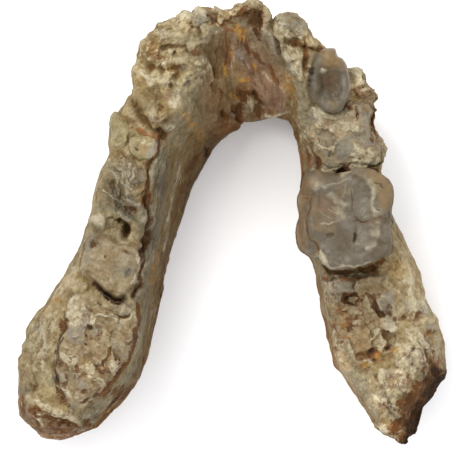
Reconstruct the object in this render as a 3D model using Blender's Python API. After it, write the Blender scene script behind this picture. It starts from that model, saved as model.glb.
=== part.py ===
"""A fossil lower jaw, seen from above as a horseshoe: the bone, and the teeth and roots that sit in it.

The jaw lies on its lower border. X runs across it towards its own right side, Y towards the chin and Z up.
The origin is under the middle of the jaw, on the surface that it rests on. Sizes are in millimetres until
they are put into a mesh, which is in metres.
"""

import math

import bmesh
import bpy
import numpy as np

MM = 0.001

# The clear joint round a tooth, which the real jaw has filled with earth.
SOCKET_GAP = 0.35

# Rings along the jaw, and points round each of them.
BONE_RINGS = 88
BONE_POINTS = 32

# The outline from above, station by station: the outer edge and the inner edge of the same section.
# The stations run from the broken back end on the left, round the chin, to the broken end on the right.
OUTER_EDGE = [
    (-26.6, -30.9), (-29.2, -29.1), (-30.5, -26.4), (-30.4, -23.4), (-30.4, -20.4), (-29.9, -17.4),
    (-28.8, -14.2), (-26.8, -11.5), (-24.6, -8.5), (-23.0, -5.4), (-21.7, -2.6), (-20.6, 0.3),
    (-20.0, 3.0), (-19.4, 5.6), (-18.3, 8.2), (-17.8, 10.9), (-17.6, 13.4), (-16.3, 16.0),
    (-14.0, 18.7), (-14.3, 21.6), (-13.3, 24.3), (-12.1, 26.4), (-9.9, 28.4), (-7.0, 29.8),
    (-4.2, 30.5), (-1.2, 30.5), (1.6, 31.0), (4.1, 31.3), (5.8, 29.3), (8.2, 29.9),
    (10.6, 28.1), (12.6, 25.9), (15.2, 23.3), (17.8, 21.5), (19.4, 19.4), (20.5, 17.8),
    (20.2, 15.4), (20.6, 12.8), (21.7, 10.6), (21.0, 8.3), (21.7, 5.5), (22.3, 2.8),
    (23.0, 0.4), (24.6, -2.5), (26.2, -5.6), (27.2, -8.6), (28.0, -11.6), (29.5, -14.3),
    (30.3, -17.2), (30.5, -20.0), (30.0, -22.4), (29.2, -24.4), (27.5, -26.3), (26.5, -28.6),
    (25.0, -31.3),
]
INNER_EDGE = [
    (-22.6, -30.9), (-19.4, -29.2), (-17.2, -26.8), (-14.6, -24.2), (-12.8, -21.0), (-11.7, -17.4),
    (-10.9, -14.2), (-10.2, -11.2), (-9.7, -8.1), (-9.0, -5.0), (-8.2, -2.2), (-7.3, 0.5),
    (-6.4, 3.3), (-5.2, 6.1), (-3.8, 8.6), (-2.4, 10.9), (-0.7, 12.5), (0.8, 13.4),
    (1.3, 14.1), (1.7, 14.5), (2.1, 14.5), (2.5, 14.5), (2.9, 14.5), (3.3, 14.6),
    (3.7, 14.7), (4.1, 14.8), (4.6, 14.9), (5.1, 15.0), (5.7, 15.1), (6.3, 15.1),
    (7.0, 15.0), (7.7, 14.8), (8.2, 14.5), (8.6, 13.9), (8.9, 13.3), (9.2, 12.5),
    (9.5, 11.5), (9.7, 10.4), (9.9, 9.2), (10.0, 7.6), (9.9, 5.2), (9.8, 2.4),
    (9.9, -0.5), (10.6, -3.4), (11.7, -6.2), (12.2, -9.0), (12.9, -12.0), (13.5, -14.7),
    (14.0, -17.4), (14.6, -20.2), (16.3, -22.5), (18.0, -25.0), (19.5, -27.3), (20.9, -29.3),
    (23.4, -31.2),
]

# Sections at chosen stations. Each point is its share of the way from the outer to the inner edge, then
# its height. In order: outer bulge, outer crest, middle of the tooth row, inner crest, upper and lower
# inner wall, inner bulge, inner and outer edge of the base, and the lower outer wall. A base below zero
# is cut off flat at the resting surface.
SECTIONS = {
    0: [(0, 8.0), (0.25, 11.0), (0.5, 11.5), (0.75, 11.0), (0.9, 10.0), (0.98, 8.5), (1, 7.0),
        (0.8, 5.0), (0.2, 5.0), (0.03, 6.5)],
    1: [(0, 9.0), (0.18, 15.0), (0.5, 16.0), (0.76, 15.0), (0.9, 13.0), (0.98, 10.5), (1, 8.5),
        (0.85, 2.0), (0.25, 2.0), (0.04, 5.5)],
    2: [(0, 11.0), (0.13, 18.6), (0.45, 20.3), (0.76, 19.2), (0.9, 16.0), (0.98, 12.0), (1, 9.0),
        (0.88, 0.2), (0.3, 0.0), (0.07, 4.5)],
    4: [(0, 13.0), (0.25, 20.6), (0.58, 20.9), (0.885, 20.3), (0.95, 16.8), (0.99, 12.8), (1, 9.5),
        (0.9, -0.7), (0.35, -0.7), (0.09, 4.6)],
    6: [(0, 13.0), (0.24, 20.8), (0.55, 21.0), (0.85, 20.6), (0.93, 16.8), (0.985, 12.3), (1, 8.5),
        (0.9, -0.4), (0.33, -0.5), (0.08, 5.0)],
    8: [(0, 12.5), (0.18, 20.9), (0.47, 21.0), (0.775, 20.9), (0.87, 17.0), (0.96, 12.0), (1, 7.5),
        (0.9, 0.7), (0.31, 0.3), (0.07, 5.2)],
    11: [(0, 15.5), (0.06, 21.3), (0.33, 21.3), (0.63, 21.7), (0.76, 18.2), (0.9, 12.6), (1, 6.5),
         (0.92, 0.9), (0.35, 0.8), (0.1, 6.0)],
    15: [(0, 17.5), (0.05, 22.3), (0.25, 22.3), (0.49, 22.6), (0.63, 18.8), (0.82, 12.2), (1, 5.5),
         (0.93, 0.6), (0.4, 0.6), (0.12, 8.0)],
    18: [(0, 19.0), (0.05, 24.4), (0.24, 24.2), (0.5, 23.2), (0.66, 18.6), (0.84, 11.6), (1, 5.0),
         (0.92, -0.3), (0.42, -0.3), (0.14, 9.0)],
    21: [(0, 21.0), (0.05, 26.2), (0.24, 25.8), (0.5, 24.4), (0.62, 19.2), (0.8, 12.4), (1, 4.5),
         (0.93, -0.7), (0.46, -0.7), (0.17, 9.5)],
    24: [(0, 23.5), (0.04, 28.4), (0.11, 28.8), (0.19, 28.0), (0.42, 21.2), (0.72, 13.4), (1, 4.0),
         (0.94, -0.7), (0.5, -0.7), (0.2, 9.5)],
    26: [(0, 25.5), (0.03, 30.2), (0.1, 29.2), (0.2, 26.6), (0.43, 20.8), (0.72, 13.2), (1, 4.2),
         (0.94, -0.7), (0.48, -0.7), (0.2, 10.0)],
    28: [(0, 22.5), (0.05, 28.0), (0.15, 27.6), (0.27, 26.0), (0.52, 19.2), (0.79, 11.4), (1, 4.5),
         (0.93, -0.7), (0.45, -0.7), (0.15, 10.0)],
    30: [(0, 20.5), (0.05, 26.2), (0.25, 26.2), (0.52, 24.6), (0.69, 18.6), (0.87, 11.2), (1, 5.0),
         (0.92, -0.2), (0.43, -0.2), (0.12, 9.5)],
    33: [(0, 17.0), (0.06, 22.0), (0.4, 23.0), (0.8, 22.7), (0.88, 18.2), (0.96, 12.4), (1, 7.0),
         (0.88, 0.5), (0.36, 0.5), (0.1, 8.0)],
    37: [(0, 15.0), (0.07, 21.2), (0.45, 22.0), (0.87, 21.9), (0.93, 17.6), (0.98, 12.4), (1, 8.0),
         (0.87, 0.8), (0.35, 0.8), (0.11, 6.2)],
    41: [(0, 13.5), (0.08, 20.4), (0.5, 20.6), (0.89, 20.8), (0.95, 17.0), (0.985, 12.8), (1, 9.0),
         (0.88, 0.9), (0.33, 0.9), (0.11, 5.4)],
    44: [(0, 12.0), (0.25, 20.2), (0.6, 19.8), (0.91, 20.2), (0.96, 16.6), (0.99, 12.6), (1, 9.0),
         (0.89, 0.6), (0.3, 0.4), (0.08, 5.0)],
    47: [(0, 11.5), (0.34, 19.8), (0.65, 19.2), (0.93, 19.6), (0.97, 16.2), (0.99, 12.4), (1, 9.0),
         (0.89, -0.6), (0.34, -0.6), (0.09, 4.5)],
    49: [(0, 9.5), (0.2, 18.6), (0.55, 19.6), (0.89, 19.4), (0.96, 16.0), (0.99, 12.4), (1, 9.0),
         (0.89, -0.7), (0.34, -0.7), (0.07, 4.0)],
    51: [(0, 5.5), (0.34, 18.6), (0.6, 19.0), (0.87, 18.4), (0.95, 15.0), (0.99, 11.6), (1, 8.8),
         (0.86, 0.2), (0.28, 0.6), (0.04, 3.2)],
    53: [(0, 7.0), (0.48, 16.4), (0.65, 16.8), (0.84, 15.8), (0.93, 13.6), (0.99, 11.2), (1, 9.2),
         (0.85, 4.0), (0.3, 3.6), (0.05, 5.2)],
    54: [(0, 10.0), (0.36, 13.2), (0.55, 13.6), (0.74, 13.2), (0.9, 12.2), (0.98, 11.0), (1, 10.0),
         (0.8, 8.2), (0.3, 8.0), (0.05, 8.8)],
}

# Broken lumps, ledges and pits of the bone: the middle, the half sizes along and across, the turn in
# degrees, and how far the surface stands out or in there.
LUMPS = [
    (-12.2, 20.6, 2.6, 1.0, -52, 0.7), (-11.6, 16.6, 2.4, 1.0, -50, 0.6), (-11.4, 24.6, 1.8, 1.1, 10, -0.7),
    (-8.5, 24.2, 1.3, 0.8, -15, -1.3), (-7.3, 22.3, 1.2, 1.0, 20, -1.4), (-10.6, 22.2, 1.6, 0.7, 8, -1.0),
    (-9.4, 27.6, 2.0, 0.9, 10, 0.6), (-6.9, 29.2, 1.2, 0.9, 0, 0.7), (-4.2, 29.8, 1.1, 1.0, 0, 0.7),
    (-5.0, 25.8, 1.9, 0.7, 50, 0.6), (-3.9, 21.6, 2.4, 1.0, 100, 0.8), (-8.2, 19.2, 1.6, 0.7, 5, -0.6),
    (-14.5, 16.9, 1.5, 0.5, -35, -0.7), (3.2, 29.4, 2.3, 1.6, 25, -1.5), (0.0, 29.6, 2.0, 0.8, 10, -0.8),
    (2.2, 16.2, 1.7, 1.3, 0, -1.6), (2.9, 16.9, 0.9, 0.8, 0, 0.9), (0.4, 16.0, 0.8, 1.3, 30, -0.8),
    (1.6, 14.7, 1.4, 0.5, 35, -0.9), (8.1, 28.6, 1.6, 1.2, 0, 0.7), (8.9, 25.8, 1.6, 0.7, -15, -1.7),
    (8.9, 23.8, 1.2, 1.8, 10, 0.5), (11.3, 24.4, 1.2, 1.8, 15, -0.9), (17.9, 20.9, 1.1, 0.9, -20, 0.6),
    (19.8, 18.0, 1.0, 0.9, 0, 0.7), (21.2, 10.8, 0.8, 0.7, 0, 0.7), (-15.3, -0.5, 1.6, 0.9, -25, -3.2),
    (-17.4, -10.2, 3.4, 1.0, -36, -3.4), (-21.0, -9.2, 1.8, 1.0, -20, 0.4), (-28.3, -15.0, 1.2, 1.1, 0, -0.7),
    (-27.6, -26.2, 3.2, 0.6, -14, 0.7), (-22.8, -27.4, 2.4, 0.6, -12, 0.6), (18.0, -6.7, 4.2, 0.6, 10, -1.6),
    (24.6, -13.2, 2.2, 0.5, -8, -0.5), (28.8, -14.9, 1.3, 1.0, 0, 0.5), (21.5, -21.8, 3.2, 1.6, 30, 0.5),
    (28.2, -18.6, 1.6, 0.9, 0, -0.6), (23.0, -30.0, 1.2, 0.7, 0, 0.7),
]

# How quickly a surface that leans away from above stops taking the lumps.
LEAN_STARTS = 0.05
LEAN_ENDS = 0.45


def spline(points, at):
    """Points read from a smooth curve through the given rows, at row numbers that need not be whole."""
    rows = np.asarray(points, float)
    at = np.clip(np.asarray(at, float), 0, len(rows) - 1)
    low = np.minimum(at.astype(int), len(rows) - 2)
    f = (at - low).reshape((-1,) + (1,) * (rows.ndim - 1))
    before, first = rows[np.maximum(low - 1, 0)], rows[low]
    second, after = rows[low + 1], rows[np.minimum(low + 2, len(rows) - 1)]
    slope_a, slope_b = (second - before) / 2, (after - first) / 2
    return (
        first * (2 * f**3 - 3 * f**2 + 1)
        + slope_a * (f**3 - 2 * f**2 + f)
        + second * (3 * f**2 - 2 * f**3)
        + slope_b * (f**3 - f**2)
    )


def closed_spline(points, count):
    """A smooth closed curve through the points, as count places evenly spread over its spans."""
    rows = np.asarray(points, float)
    wrapped = np.concatenate([rows[-2:], rows, rows[:3]])
    return spline(wrapped, 2 + np.arange(count) * len(rows) / count)


def section_at(stations):
    """The ten section points at each station, blended between the chosen sections."""
    known = sorted(SECTIONS)
    table = np.array([SECTIONS[k] for k in known], float)
    row = np.interp(stations, known, np.arange(len(known)))
    low = np.minimum(row.astype(int), len(known) - 2)
    f = (row - low)[:, None, None]
    f = f * f * (3 - 2 * f)
    return table[low] * (1 - f) + table[low + 1] * f


def bone_rings(rings, points):
    """Places on the bone in millimetres, as an array of rings by points by three."""
    stations = np.linspace(0, len(OUTER_EDGE) - 1, rings)
    outer, inner = spline(OUTER_EDGE, stations), spline(INNER_EDGE, stations)
    placed = np.empty((rings, points, 3))
    for k, profile in enumerate(section_at(stations)):
        ring = closed_spline(profile, points)
        share = np.clip(ring[:, 0], 0, 1)[:, None]
        placed[k, :, :2] = outer[k] * (1 - share) + inner[k] * share
        placed[k, :, 2] = ring[:, 1]
    return placed


def grid_normals(grid):
    """Outward directions on a grid of rings, from the differences along and round it."""
    along = np.gradient(grid, axis=0)
    around = np.roll(grid, -1, axis=1) - np.roll(grid, 1, axis=1)
    normal = np.cross(around, along)
    return normal / np.maximum(np.linalg.norm(normal, axis=2, keepdims=True), 1e-9)


def relief(x, y, features):
    """Height of the lumps and pits over a place in plan: each is a smooth oval hill of its own size."""
    total = np.zeros_like(x)
    for middle_x, middle_y, half_long, half_wide, turn, height in features:
        c, s = math.cos(math.radians(turn)), math.sin(math.radians(turn))
        dx, dy = x - middle_x, y - middle_y
        along, across = (dx * c + dy * s) / half_long, (dy * c - dx * s) / half_wide
        total += height * np.exp(-((along**2 + across**2) ** 1.3))
    return total


def shaped_bone(rings, points):
    """The bone with its lumps and pits, cut off flat where it rests."""
    grid = bone_rings(rings, points)
    normal = grid_normals(grid)
    lean = np.clip((normal[:, :, 2] - LEAN_STARTS) / (LEAN_ENDS - LEAN_STARTS), 0, 1)
    grid += normal * (relief(grid[:, :, 0], grid[:, :, 1], LUMPS) * lean)[:, :, None]
    grid[:, :, 2] = np.maximum(grid[:, :, 2], 0)
    return grid


def clear_scene():
    for obj in list(bpy.data.objects):
        bpy.data.objects.remove(obj)


def material(name, colour, roughness):
    made = bpy.data.materials.new(name)
    made.use_nodes = True
    shader = made.node_tree.nodes["Principled BSDF"]
    shader.inputs["Base Color"].default_value = (*colour, 1)
    shader.inputs["Roughness"].default_value = roughness
    shader.inputs["Metallic"].default_value = 0
    return made


def skin_of_rings(name, rings, surface):
    """One closed object from rings of points in millimetres. The first and last rings are drawn to a point."""
    bm = bmesh.new()
    loops = [[bm.verts.new(p * MM) for p in ring] for ring in rings]
    for first, second in zip(loops, loops[1:]):
        for k in range(len(first)):
            after = (k + 1) % len(first)
            bm.faces.new((first[k], first[after], second[after], second[k]))
    for loop in (loops[0], loops[-1]):
        cap = bm.faces.new(loop)
        bmesh.ops.poke(bm, faces=[cap])
    bmesh.ops.recalc_face_normals(bm, faces=bm.faces)
    mesh = bpy.data.meshes.new(name)
    bm.to_mesh(mesh)
    bm.free()
    mesh.shade_smooth()
    mesh.set_sharp_from_angle(angle=math.radians(40))
    mesh.materials.append(surface)
    obj = bpy.data.objects.new(name, mesh)
    bpy.context.scene.collection.objects.link(obj)
    return obj


def widened(outline, by):
    """The closed outline moved outwards by a distance, along its own normals."""
    ahead = np.roll(outline, -1, axis=0) - np.roll(outline, 1, axis=0)
    normal = np.stack([ahead[:, 1], -ahead[:, 0]], axis=1)
    normal /= np.linalg.norm(normal, axis=1, keepdims=True)
    area = np.sum(outline[:, 0] * np.roll(outline[:, 1], -1) - np.roll(outline[:, 0], -1) * outline[:, 1])
    return outline + normal * by * math.copysign(1, area)


# Each tooth or root: its outline seen from above, the points round it, its side as pairs of height and
# share of the outline's width, the height of its top at the rim, and the lumps and pits of that top.
TEETH = {
    "right_second_molar": {
        "outline": [
            (9.9, 6.2), (11.2, 7.3), (13.2, 7.2), (15.4, 6.8), (17.6, 7.6), (19.6, 7.8), (21.3, 7.1), (22.5, 6.0),
            (23.0, 4.0), (23.0, 1.6), (22.9, -0.8), (22.7, -2.8), (22.0, -4.5), (20.0, -5.6), (17.6, -6.2),
            (15.4, -6.6), (13.6, -6.3), (12.3, -4.9), (10.5, -4.5), (9.4, -3.0), (9.1, -1.2), (9.6, 0.6),
            (9.5, 2.6), (9.4, 4.2),
        ],
        "points": 32,
        "side": [(16.8, 0.5), (20.2, 0.72), (21.6, 0.93), (23.4, 1.0), (25.4, 0.985), (26.5, 0.93)],
        "top": 26.9,
        "top_lumps": [
            (16.0, 0.6, 5.6, 4.8, 90, -1.5), (12.2, 4.2, 1.6, 1.4, 0, 0.4), (19.9, 3.0, 1.6, 2.8, 90, 0.5),
            (20.9, -1.8, 1.4, 1.8, 0, 0.6), (14.6, -4.4, 2.2, 1.2, 0, 0.4),
        ],
        "colour": (0.42, 0.36, 0.29),
        "roughness": 0.3,
    },
    "right_premolar": {
        "outline": [
            (12.0, 24.1), (13.2, 24.9), (14.6, 24.9), (15.3, 24.0), (16.2, 23.0), (16.8, 21.0), (17.0, 19.0),
            (16.5, 17.3), (15.4, 16.1), (14.0, 15.9), (12.6, 16.6), (11.5, 17.8), (10.9, 19.4), (11.0, 21.4),
            (11.3, 22.9),
        ],
        "points": 24,
        "side": [(18.6, 0.6), (22.6, 0.78), (23.6, 0.93), (25.0, 1.0), (26.4, 0.94)],
        "top": 27.2,
        "top_lumps": [
            (14.0, 19.6, 3.6, 2.2, 95, -1.7), (13.9, 23.6, 1.6, 1.2, 0, 0.9), (16.2, 20.4, 2.4, 0.6, 100, 0.3),
        ],
        "colour": (0.36, 0.31, 0.24),
        "roughness": 0.3,
    },
    "right_first_molar": {
        "outline": [
            (11.4, 15.6), (12.4, 15.4), (13.8, 15.0), (15.4, 15.1), (16.6, 15.9), (17.8, 16.8), (19.2, 16.9),
            (19.9, 15.6), (19.7, 13.6), (20.1, 11.8), (20.4, 10.4), (20.0, 9.2), (18.6, 8.6), (17.0, 8.3),
            (15.4, 7.8), (13.9, 8.0), (12.8, 8.8), (12.3, 10.4), (11.7, 12.2), (11.2, 14.0),
        ],
        "points": 24,
        "side": [(19.4, 0.9), (21.6, 0.98), (23.0, 0.98)],
        "top": 23.6,
        "top_lumps": [
            (13.4, 12.6, 1.6, 1.2, 0, -1.4), (17.8, 12.4, 1.8, 1.4, -20, -0.9), (18.4, 9.6, 1.9, 1.1, 0, 0.6),
            (12.8, 15.0, 0.9, 1.0, 0, 0.5), (15.6, 13.6, 1.8, 0.8, -25, 0.5), (18.2, 15.4, 1.2, 1.2, 0, -0.5),
        ],
        "colour": (0.48, 0.43, 0.35),
        "roughness": 0.45,
    },
    "right_third_molar": {
        "outline": [
            (13.6, -8.2), (15.6, -8.2), (17.6, -7.9), (19.6, -7.8), (21.4, -7.7), (22.6, -9.2), (23.2, -11.4),
            (23.2, -13.4), (23.7, -15.6), (23.6, -17.2), (22.0, -18.2), (20.4, -19.2), (18.8, -20.4),
            (16.8, -20.4), (15.5, -19.2), (15.2, -17.0), (15.0, -14.6), (14.5, -12.2), (13.9, -10.2),
        ],
        "points": 24,
        "side": [(15.6, 0.9), (18.4, 0.97), (19.8, 0.97)],
        "top": 20.5,
        "top_lumps": [
            (17.2, -11.2, 1.5, 0.9, 0, -2.2), (20.2, -9.2, 2.0, 1.2, -10, 0.5), (19.8, -11.8, 0.7, 2.0, 30, -1.3),
            (20.8, -16.4, 0.9, 0.8, 60, 1.0), (19.6, -18.2, 1.6, 0.6, 20, -1.6), (16.2, -18.4, 1.0, 1.2, 0, 0.5),
            (22.9, -16.6, 0.7, 1.0, 0, -0.8),
        ],
        "colour": (0.42, 0.32, 0.2),
        "roughness": 0.6,
    },
    "left_third_molar": {
        "outline": [
            (-22.3, -10.9), (-23.2, -12.4), (-23.2, -14.4), (-23.8, -16.4), (-24.7, -18.4), (-25.0, -20.6),
            (-24.8, -22.4), (-24.0, -24.0), (-23.1, -25.3), (-21.6, -25.3), (-19.6, -24.4), (-17.8, -23.0),
            (-16.4, -21.2), (-15.2, -19.0), (-14.6, -16.8), (-14.1, -14.6), (-14.0, -13.0), (-15.2, -12.0),
            (-17.2, -12.3), (-19.2, -12.0), (-20.8, -11.2),
        ],
        "points": 24,
        "side": [(16.4, 0.9), (19.4, 0.97), (21.2, 0.97)],
        "top": 21.9,
        "top_lumps": [
            (-15.8, -13.0, 1.1, 0.8, 10, 0.4), (-20.6, -14.4, 1.7, 0.5, -35, -0.7), (-21.4, -20.2, 1.6, 1.2, 0, 0.3),
            (-20.8, -17.2, 0.7, 0.6, 0, -0.8), (-17.6, -18.2, 0.5, 1.4, 20, -0.7), (-18.3, -20.2, 1.8, 0.6, 10, 0.5),
        ],
        "colour": (0.5, 0.41, 0.28),
        "roughness": 0.55,
    },
    "left_second_molar": {
        "outline": [
            (-20.6, -3.6), (-21.2, -5.0), (-21.3, -6.3), (-20.0, -7.6), (-18.4, -8.9), (-16.8, -10.0),
            (-15.4, -10.1), (-14.4, -8.8), (-13.5, -6.8), (-13.1, -4.9), (-13.7, -3.6), (-15.4, -3.4),
            (-17.2, -3.1), (-19.0, -3.0),
        ],
        "points": 24,
        "side": [(17.4, 0.9), (20.4, 0.98), (22.0, 0.98)],
        "top": 22.5,
        "top_lumps": [(-17.2, -6.4, 2.6, 1.8, 0, 0.3), (-20.1, -4.4, 0.6, 0.8, 0, -0.4)],
        "colour": (0.46, 0.38, 0.26),
        "roughness": 0.55,
    },
    "left_first_molar_root": {
        "outline": [
            (-18.5, 5.4), (-17.6, 7.2), (-16.4, 8.6), (-14.6, 8.4), (-13.0, 8.2), (-12.5, 6.8), (-12.7, 5.2),
            (-13.5, 3.9), (-15.0, 3.1), (-16.8, 3.1), (-18.3, 3.9),
        ],
        "points": 16,
        "side": [(18.6, 0.9), (22.0, 0.98)],
        "top": 22.6,
        "top_lumps": [(-16.6, 4.2, 1.6, 0.8, -35, -0.6), (-14.6, 6.0, 1.6, 1.2, 0, 0.4)],
        "colour": (0.4, 0.35, 0.26),
        "roughness": 0.6,
    },
    "left_premolar_outer_root": {
        "outline": [
            (-16.2, 15.2), (-15.6, 14.9), (-15.1, 14.0), (-15.0, 12.7), (-15.4, 11.8), (-16.2, 11.5), (-16.6, 12.4),
            (-16.7, 13.6), (-16.6, 14.6),
        ],
        "points": 16,
        "side": [(19.6, 0.7), (22.6, 0.95)],
        "top": 23.2,
        "top_lumps": [],
        "colour": (0.42, 0.37, 0.23),
        "roughness": 0.45,
    },
    "left_premolar_inner_root": {
        "outline": [
            (-14.2, 12.2), (-13.0, 12.2), (-11.8, 12.1), (-10.9, 11.7), (-10.6, 10.8), (-10.9, 9.9), (-11.8, 9.3),
            (-13.0, 9.4), (-14.2, 9.9), (-14.5, 11.0),
        ],
        "points": 16,
        "side": [(18.8, 0.88), (22.7, 0.97)],
        "top": 23.4,
        "top_lumps": [],
        "colour": (0.48, 0.43, 0.27),
        "roughness": 0.45,
    },
}

# Rings drawn in from the rim over the top of a tooth, and how far its edge is rounded over.
TOP_SHARES = (0.86, 0.62, 0.34)
EDGE_ROUNDING = 0.5

# How far a socket cutter stands above the tooth that it makes room for.
CUTTER_REACH = 6.0


def tooth_rings(tooth, widen=0.0, reach=0.0):
    """Rings of a tooth from its deep end to its top. Widened and raised, they are the cutter for its socket."""
    outline = closed_spline(tooth["outline"], tooth["points"])
    middle = outline.mean(axis=0)
    rings = []
    for height, share in tooth["side"]:
        ring = widened(middle + (outline - middle) * share, widen)
        rings.append(np.column_stack([ring, np.full(len(ring), height)]))
    rings[0][:, 2] -= widen
    if reach:
        raised = rings[-1].copy()
        raised[:, 2] = tooth["top"] + reach
        return rings + [raised]
    for share in TOP_SHARES:
        ring = middle + (outline - middle) * share * tooth["side"][-1][1]
        height = tooth["top"] - EDGE_ROUNDING * share**4
        height = height + relief(ring[:, 0], ring[:, 1], tooth["top_lumps"])
        rings.append(np.column_stack([ring, height]))
    return rings


def cut_socket(bone, name, tooth, surface):
    """Takes room for one tooth out of the bone, with a clear joint round it."""
    cutter = skin_of_rings(name + "_socket_cutter", tooth_rings(tooth, SOCKET_GAP, CUTTER_REACH), surface)
    cutter.hide_render = True
    cutter.display_type = "WIRE"
    cut = bone.modifiers.new(name + "_socket", "BOOLEAN")
    cut.operation = "DIFFERENCE"
    cut.solver = "EXACT"
    cut.object = cutter


def main():
    clear_scene()
    bone_surface = material("bone", (0.45, 0.37, 0.24), 0.6)
    bone = skin_of_rings("jaw_bone", shaped_bone(BONE_RINGS, BONE_POINTS), bone_surface)
    for name, tooth in TEETH.items():
        surface = material(name, tooth["colour"], tooth["roughness"])
        skin_of_rings(name, tooth_rings(tooth), surface)
        cut_socket(bone, name, tooth, surface)


main()
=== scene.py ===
# %% [markdown]
# # A fossil lower jaw on a table
# The real thing is a horseshoe of bone that has turned to stone, with two worn crowns, three crumbled ones
# and a few root stumps in it. It could be sculpted by hand, but here every surface is worked out from named
# curves and marks, because then each lump and stain has a place and a size that can be read and changed.
# Sizes are in millimetres in plan, seen from straight above: x runs across the jaw and y towards the chin.

import itertools
import math
from collections import namedtuple

import bpy
import numpy as np
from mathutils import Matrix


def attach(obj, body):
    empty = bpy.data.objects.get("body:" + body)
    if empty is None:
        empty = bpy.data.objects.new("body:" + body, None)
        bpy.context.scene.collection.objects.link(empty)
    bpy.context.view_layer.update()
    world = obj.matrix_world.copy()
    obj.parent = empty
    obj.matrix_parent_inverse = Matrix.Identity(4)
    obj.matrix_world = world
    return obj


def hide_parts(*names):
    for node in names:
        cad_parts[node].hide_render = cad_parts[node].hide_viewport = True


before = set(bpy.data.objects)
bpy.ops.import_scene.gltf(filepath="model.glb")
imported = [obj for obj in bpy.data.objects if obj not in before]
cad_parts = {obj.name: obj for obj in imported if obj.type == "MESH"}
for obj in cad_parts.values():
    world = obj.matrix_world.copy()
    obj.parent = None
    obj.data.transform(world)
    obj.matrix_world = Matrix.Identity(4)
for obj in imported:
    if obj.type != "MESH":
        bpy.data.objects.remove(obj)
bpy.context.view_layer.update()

MM = 0.001
TINY = 1e-9

# %% [markdown]
# ## Tools for curves
# The jaw is a loft: one section is carried along the horseshoe while it changes. A curve that runs smoothly
# through a few chosen rows is enough for the edges and for the sections.


# %% Smooth curves through rows of numbers
def pairs(*numbers):
    """Numbers put two by two, one pair in each row."""
    return np.reshape(np.array(numbers, float), (-1, 2))


def spline(points, at):
    """Rows read from a smooth curve through the given rows, at row numbers that need not be whole.

    Between two rows the curve is the cubic that meets both, with slopes taken from the rows on either side.
    """
    rows = np.asarray(points, float)
    at = np.clip(np.asarray(at, float), 0, len(rows) - 1)
    low = np.minimum(at.astype(int), len(rows) - 2)
    f = (at - low).reshape((-1,) + (1,) * (rows.ndim - 1))
    before, first = rows[np.maximum(low - 1, 0)], rows[low]
    second, after = rows[low + 1], rows[np.minimum(low + 2, len(rows) - 1)]
    slope_a, slope_b = (second - before) / 2, (after - first) / 2
    return (
        first * (2 * f**3 - 3 * f**2 + 1)
        + slope_a * (f**3 - 2 * f**2 + f)
        + second * (3 * f**2 - 2 * f**3)
        + slope_b * (f**3 - f**2)
    )


def closed_spline(rows, at):
    """The same for a closed curve: the row numbers run from 0 to the number of rows, and wrap round."""
    return spline(np.concatenate([rows[-2:], rows, rows[:3]]), 2 + at)


def ease(value, low, high):
    """0 below low, 1 above high, and a smooth S between them."""
    t = np.clip((value - low) / (high - low), 0, 1)
    return t * t * (3 - 2 * t)


print("a spline through 0, 1, 0 is", float(spline([[0.0], [1.0], [0.0]], [0.5])[0, 0]), "half way to the 1")

# %% [markdown]
# ## Tools for broken and weathered surfaces
# Old bone is never smooth. Soft noise gives its swell, cells its broken blocks, and listed marks its
# cracks, pits and stains. A sculptor would stamp them with brushes; worked out in space, they also fit
# round corners. One table of random numbers with a fixed seed serves them all.

# %% Noise and cells
TABLE_SIZE = 1 << 16
RANDOM = np.random.default_rng(11).random(TABLE_SIZE)
PRIMES = (73856093, 19349663, 83492791)
SEED_STEP = 265443576


def chance(cell, seed):
    """A number from 0 to 1 for each whole-number cell.

    The three coordinates are multiplied by large primes, mixed, and looked up in one random table.
    """
    mixed = seed * SEED_STEP
    for axis, prime in enumerate(PRIMES):
        mixed = mixed ^ cell[..., axis] * prime
    return RANDOM[(mixed ^ (mixed >> 13)) & (TABLE_SIZE - 1)]


def noise(points, size, seed):
    """Soft noise from -1 to 1: random numbers on a grid of that size, blended smoothly between corners."""
    at = points / size
    corner = np.floor(at).astype(np.int64)
    f = at - corner
    f = f * f * f * (f * (f * 6 - 15) + 10)
    total = np.zeros(len(points))
    for step in itertools.product((0, 1), repeat=3):
        weight = np.prod(np.where(step, f, 1 - f), axis=1)
        total += weight * chance(corner + np.array(step), seed)
    return total * 2 - 1


def layered(points, size, seed, layers=3):
    """Noise, with finer and weaker noise added to it: each layer has half the size and half the height."""
    return sum(noise(points, size / 2**k, seed + 31 * k) / 2**k for k in range(layers))


def ridged(points, size, seed, middle):
    """A middle height less the size of soft noise, so it is sharp on top and round in the hollows."""
    return middle - np.abs(noise(points, size, seed))


def cells(points, size, seed):
    """Broken blocks: a point is scattered in every cell of a grid, and each place belongs to the nearest.

    Gives how much further the second nearest point is (0 on a crack), a random number for the block, and how
    high the block's own tilted top stands at this place.
    """
    at = points / size
    home = np.floor(at).astype(np.int64)
    first, second = np.full(len(at), np.inf), np.full(len(at), np.inf)
    own, slope = np.zeros(len(at)), np.zeros(len(at))
    for step in itertools.product((-1, 0, 1), repeat=3):
        cell = home + np.array(step)
        away = at - cell - np.stack([chance(cell, seed + k) for k in range(3)], axis=1)
        gap = np.linalg.norm(away, axis=1)
        nearer = gap < first
        second = np.where(nearer, first, np.minimum(second, gap))
        first = np.where(nearer, gap, first)
        own = np.where(nearer, chance(cell, seed + 3), own)
        turn = chance(cell, seed + 4) * 2 * math.pi
        slope = np.where(nearer, away[:, 0] * np.cos(turn) + away[:, 1] * np.sin(turn), slope)
    return second - first, own, slope


print("noise at one place:", noise(np.array([[0.5, 0.5, 0.5]]), 1.0, 3))
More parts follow.
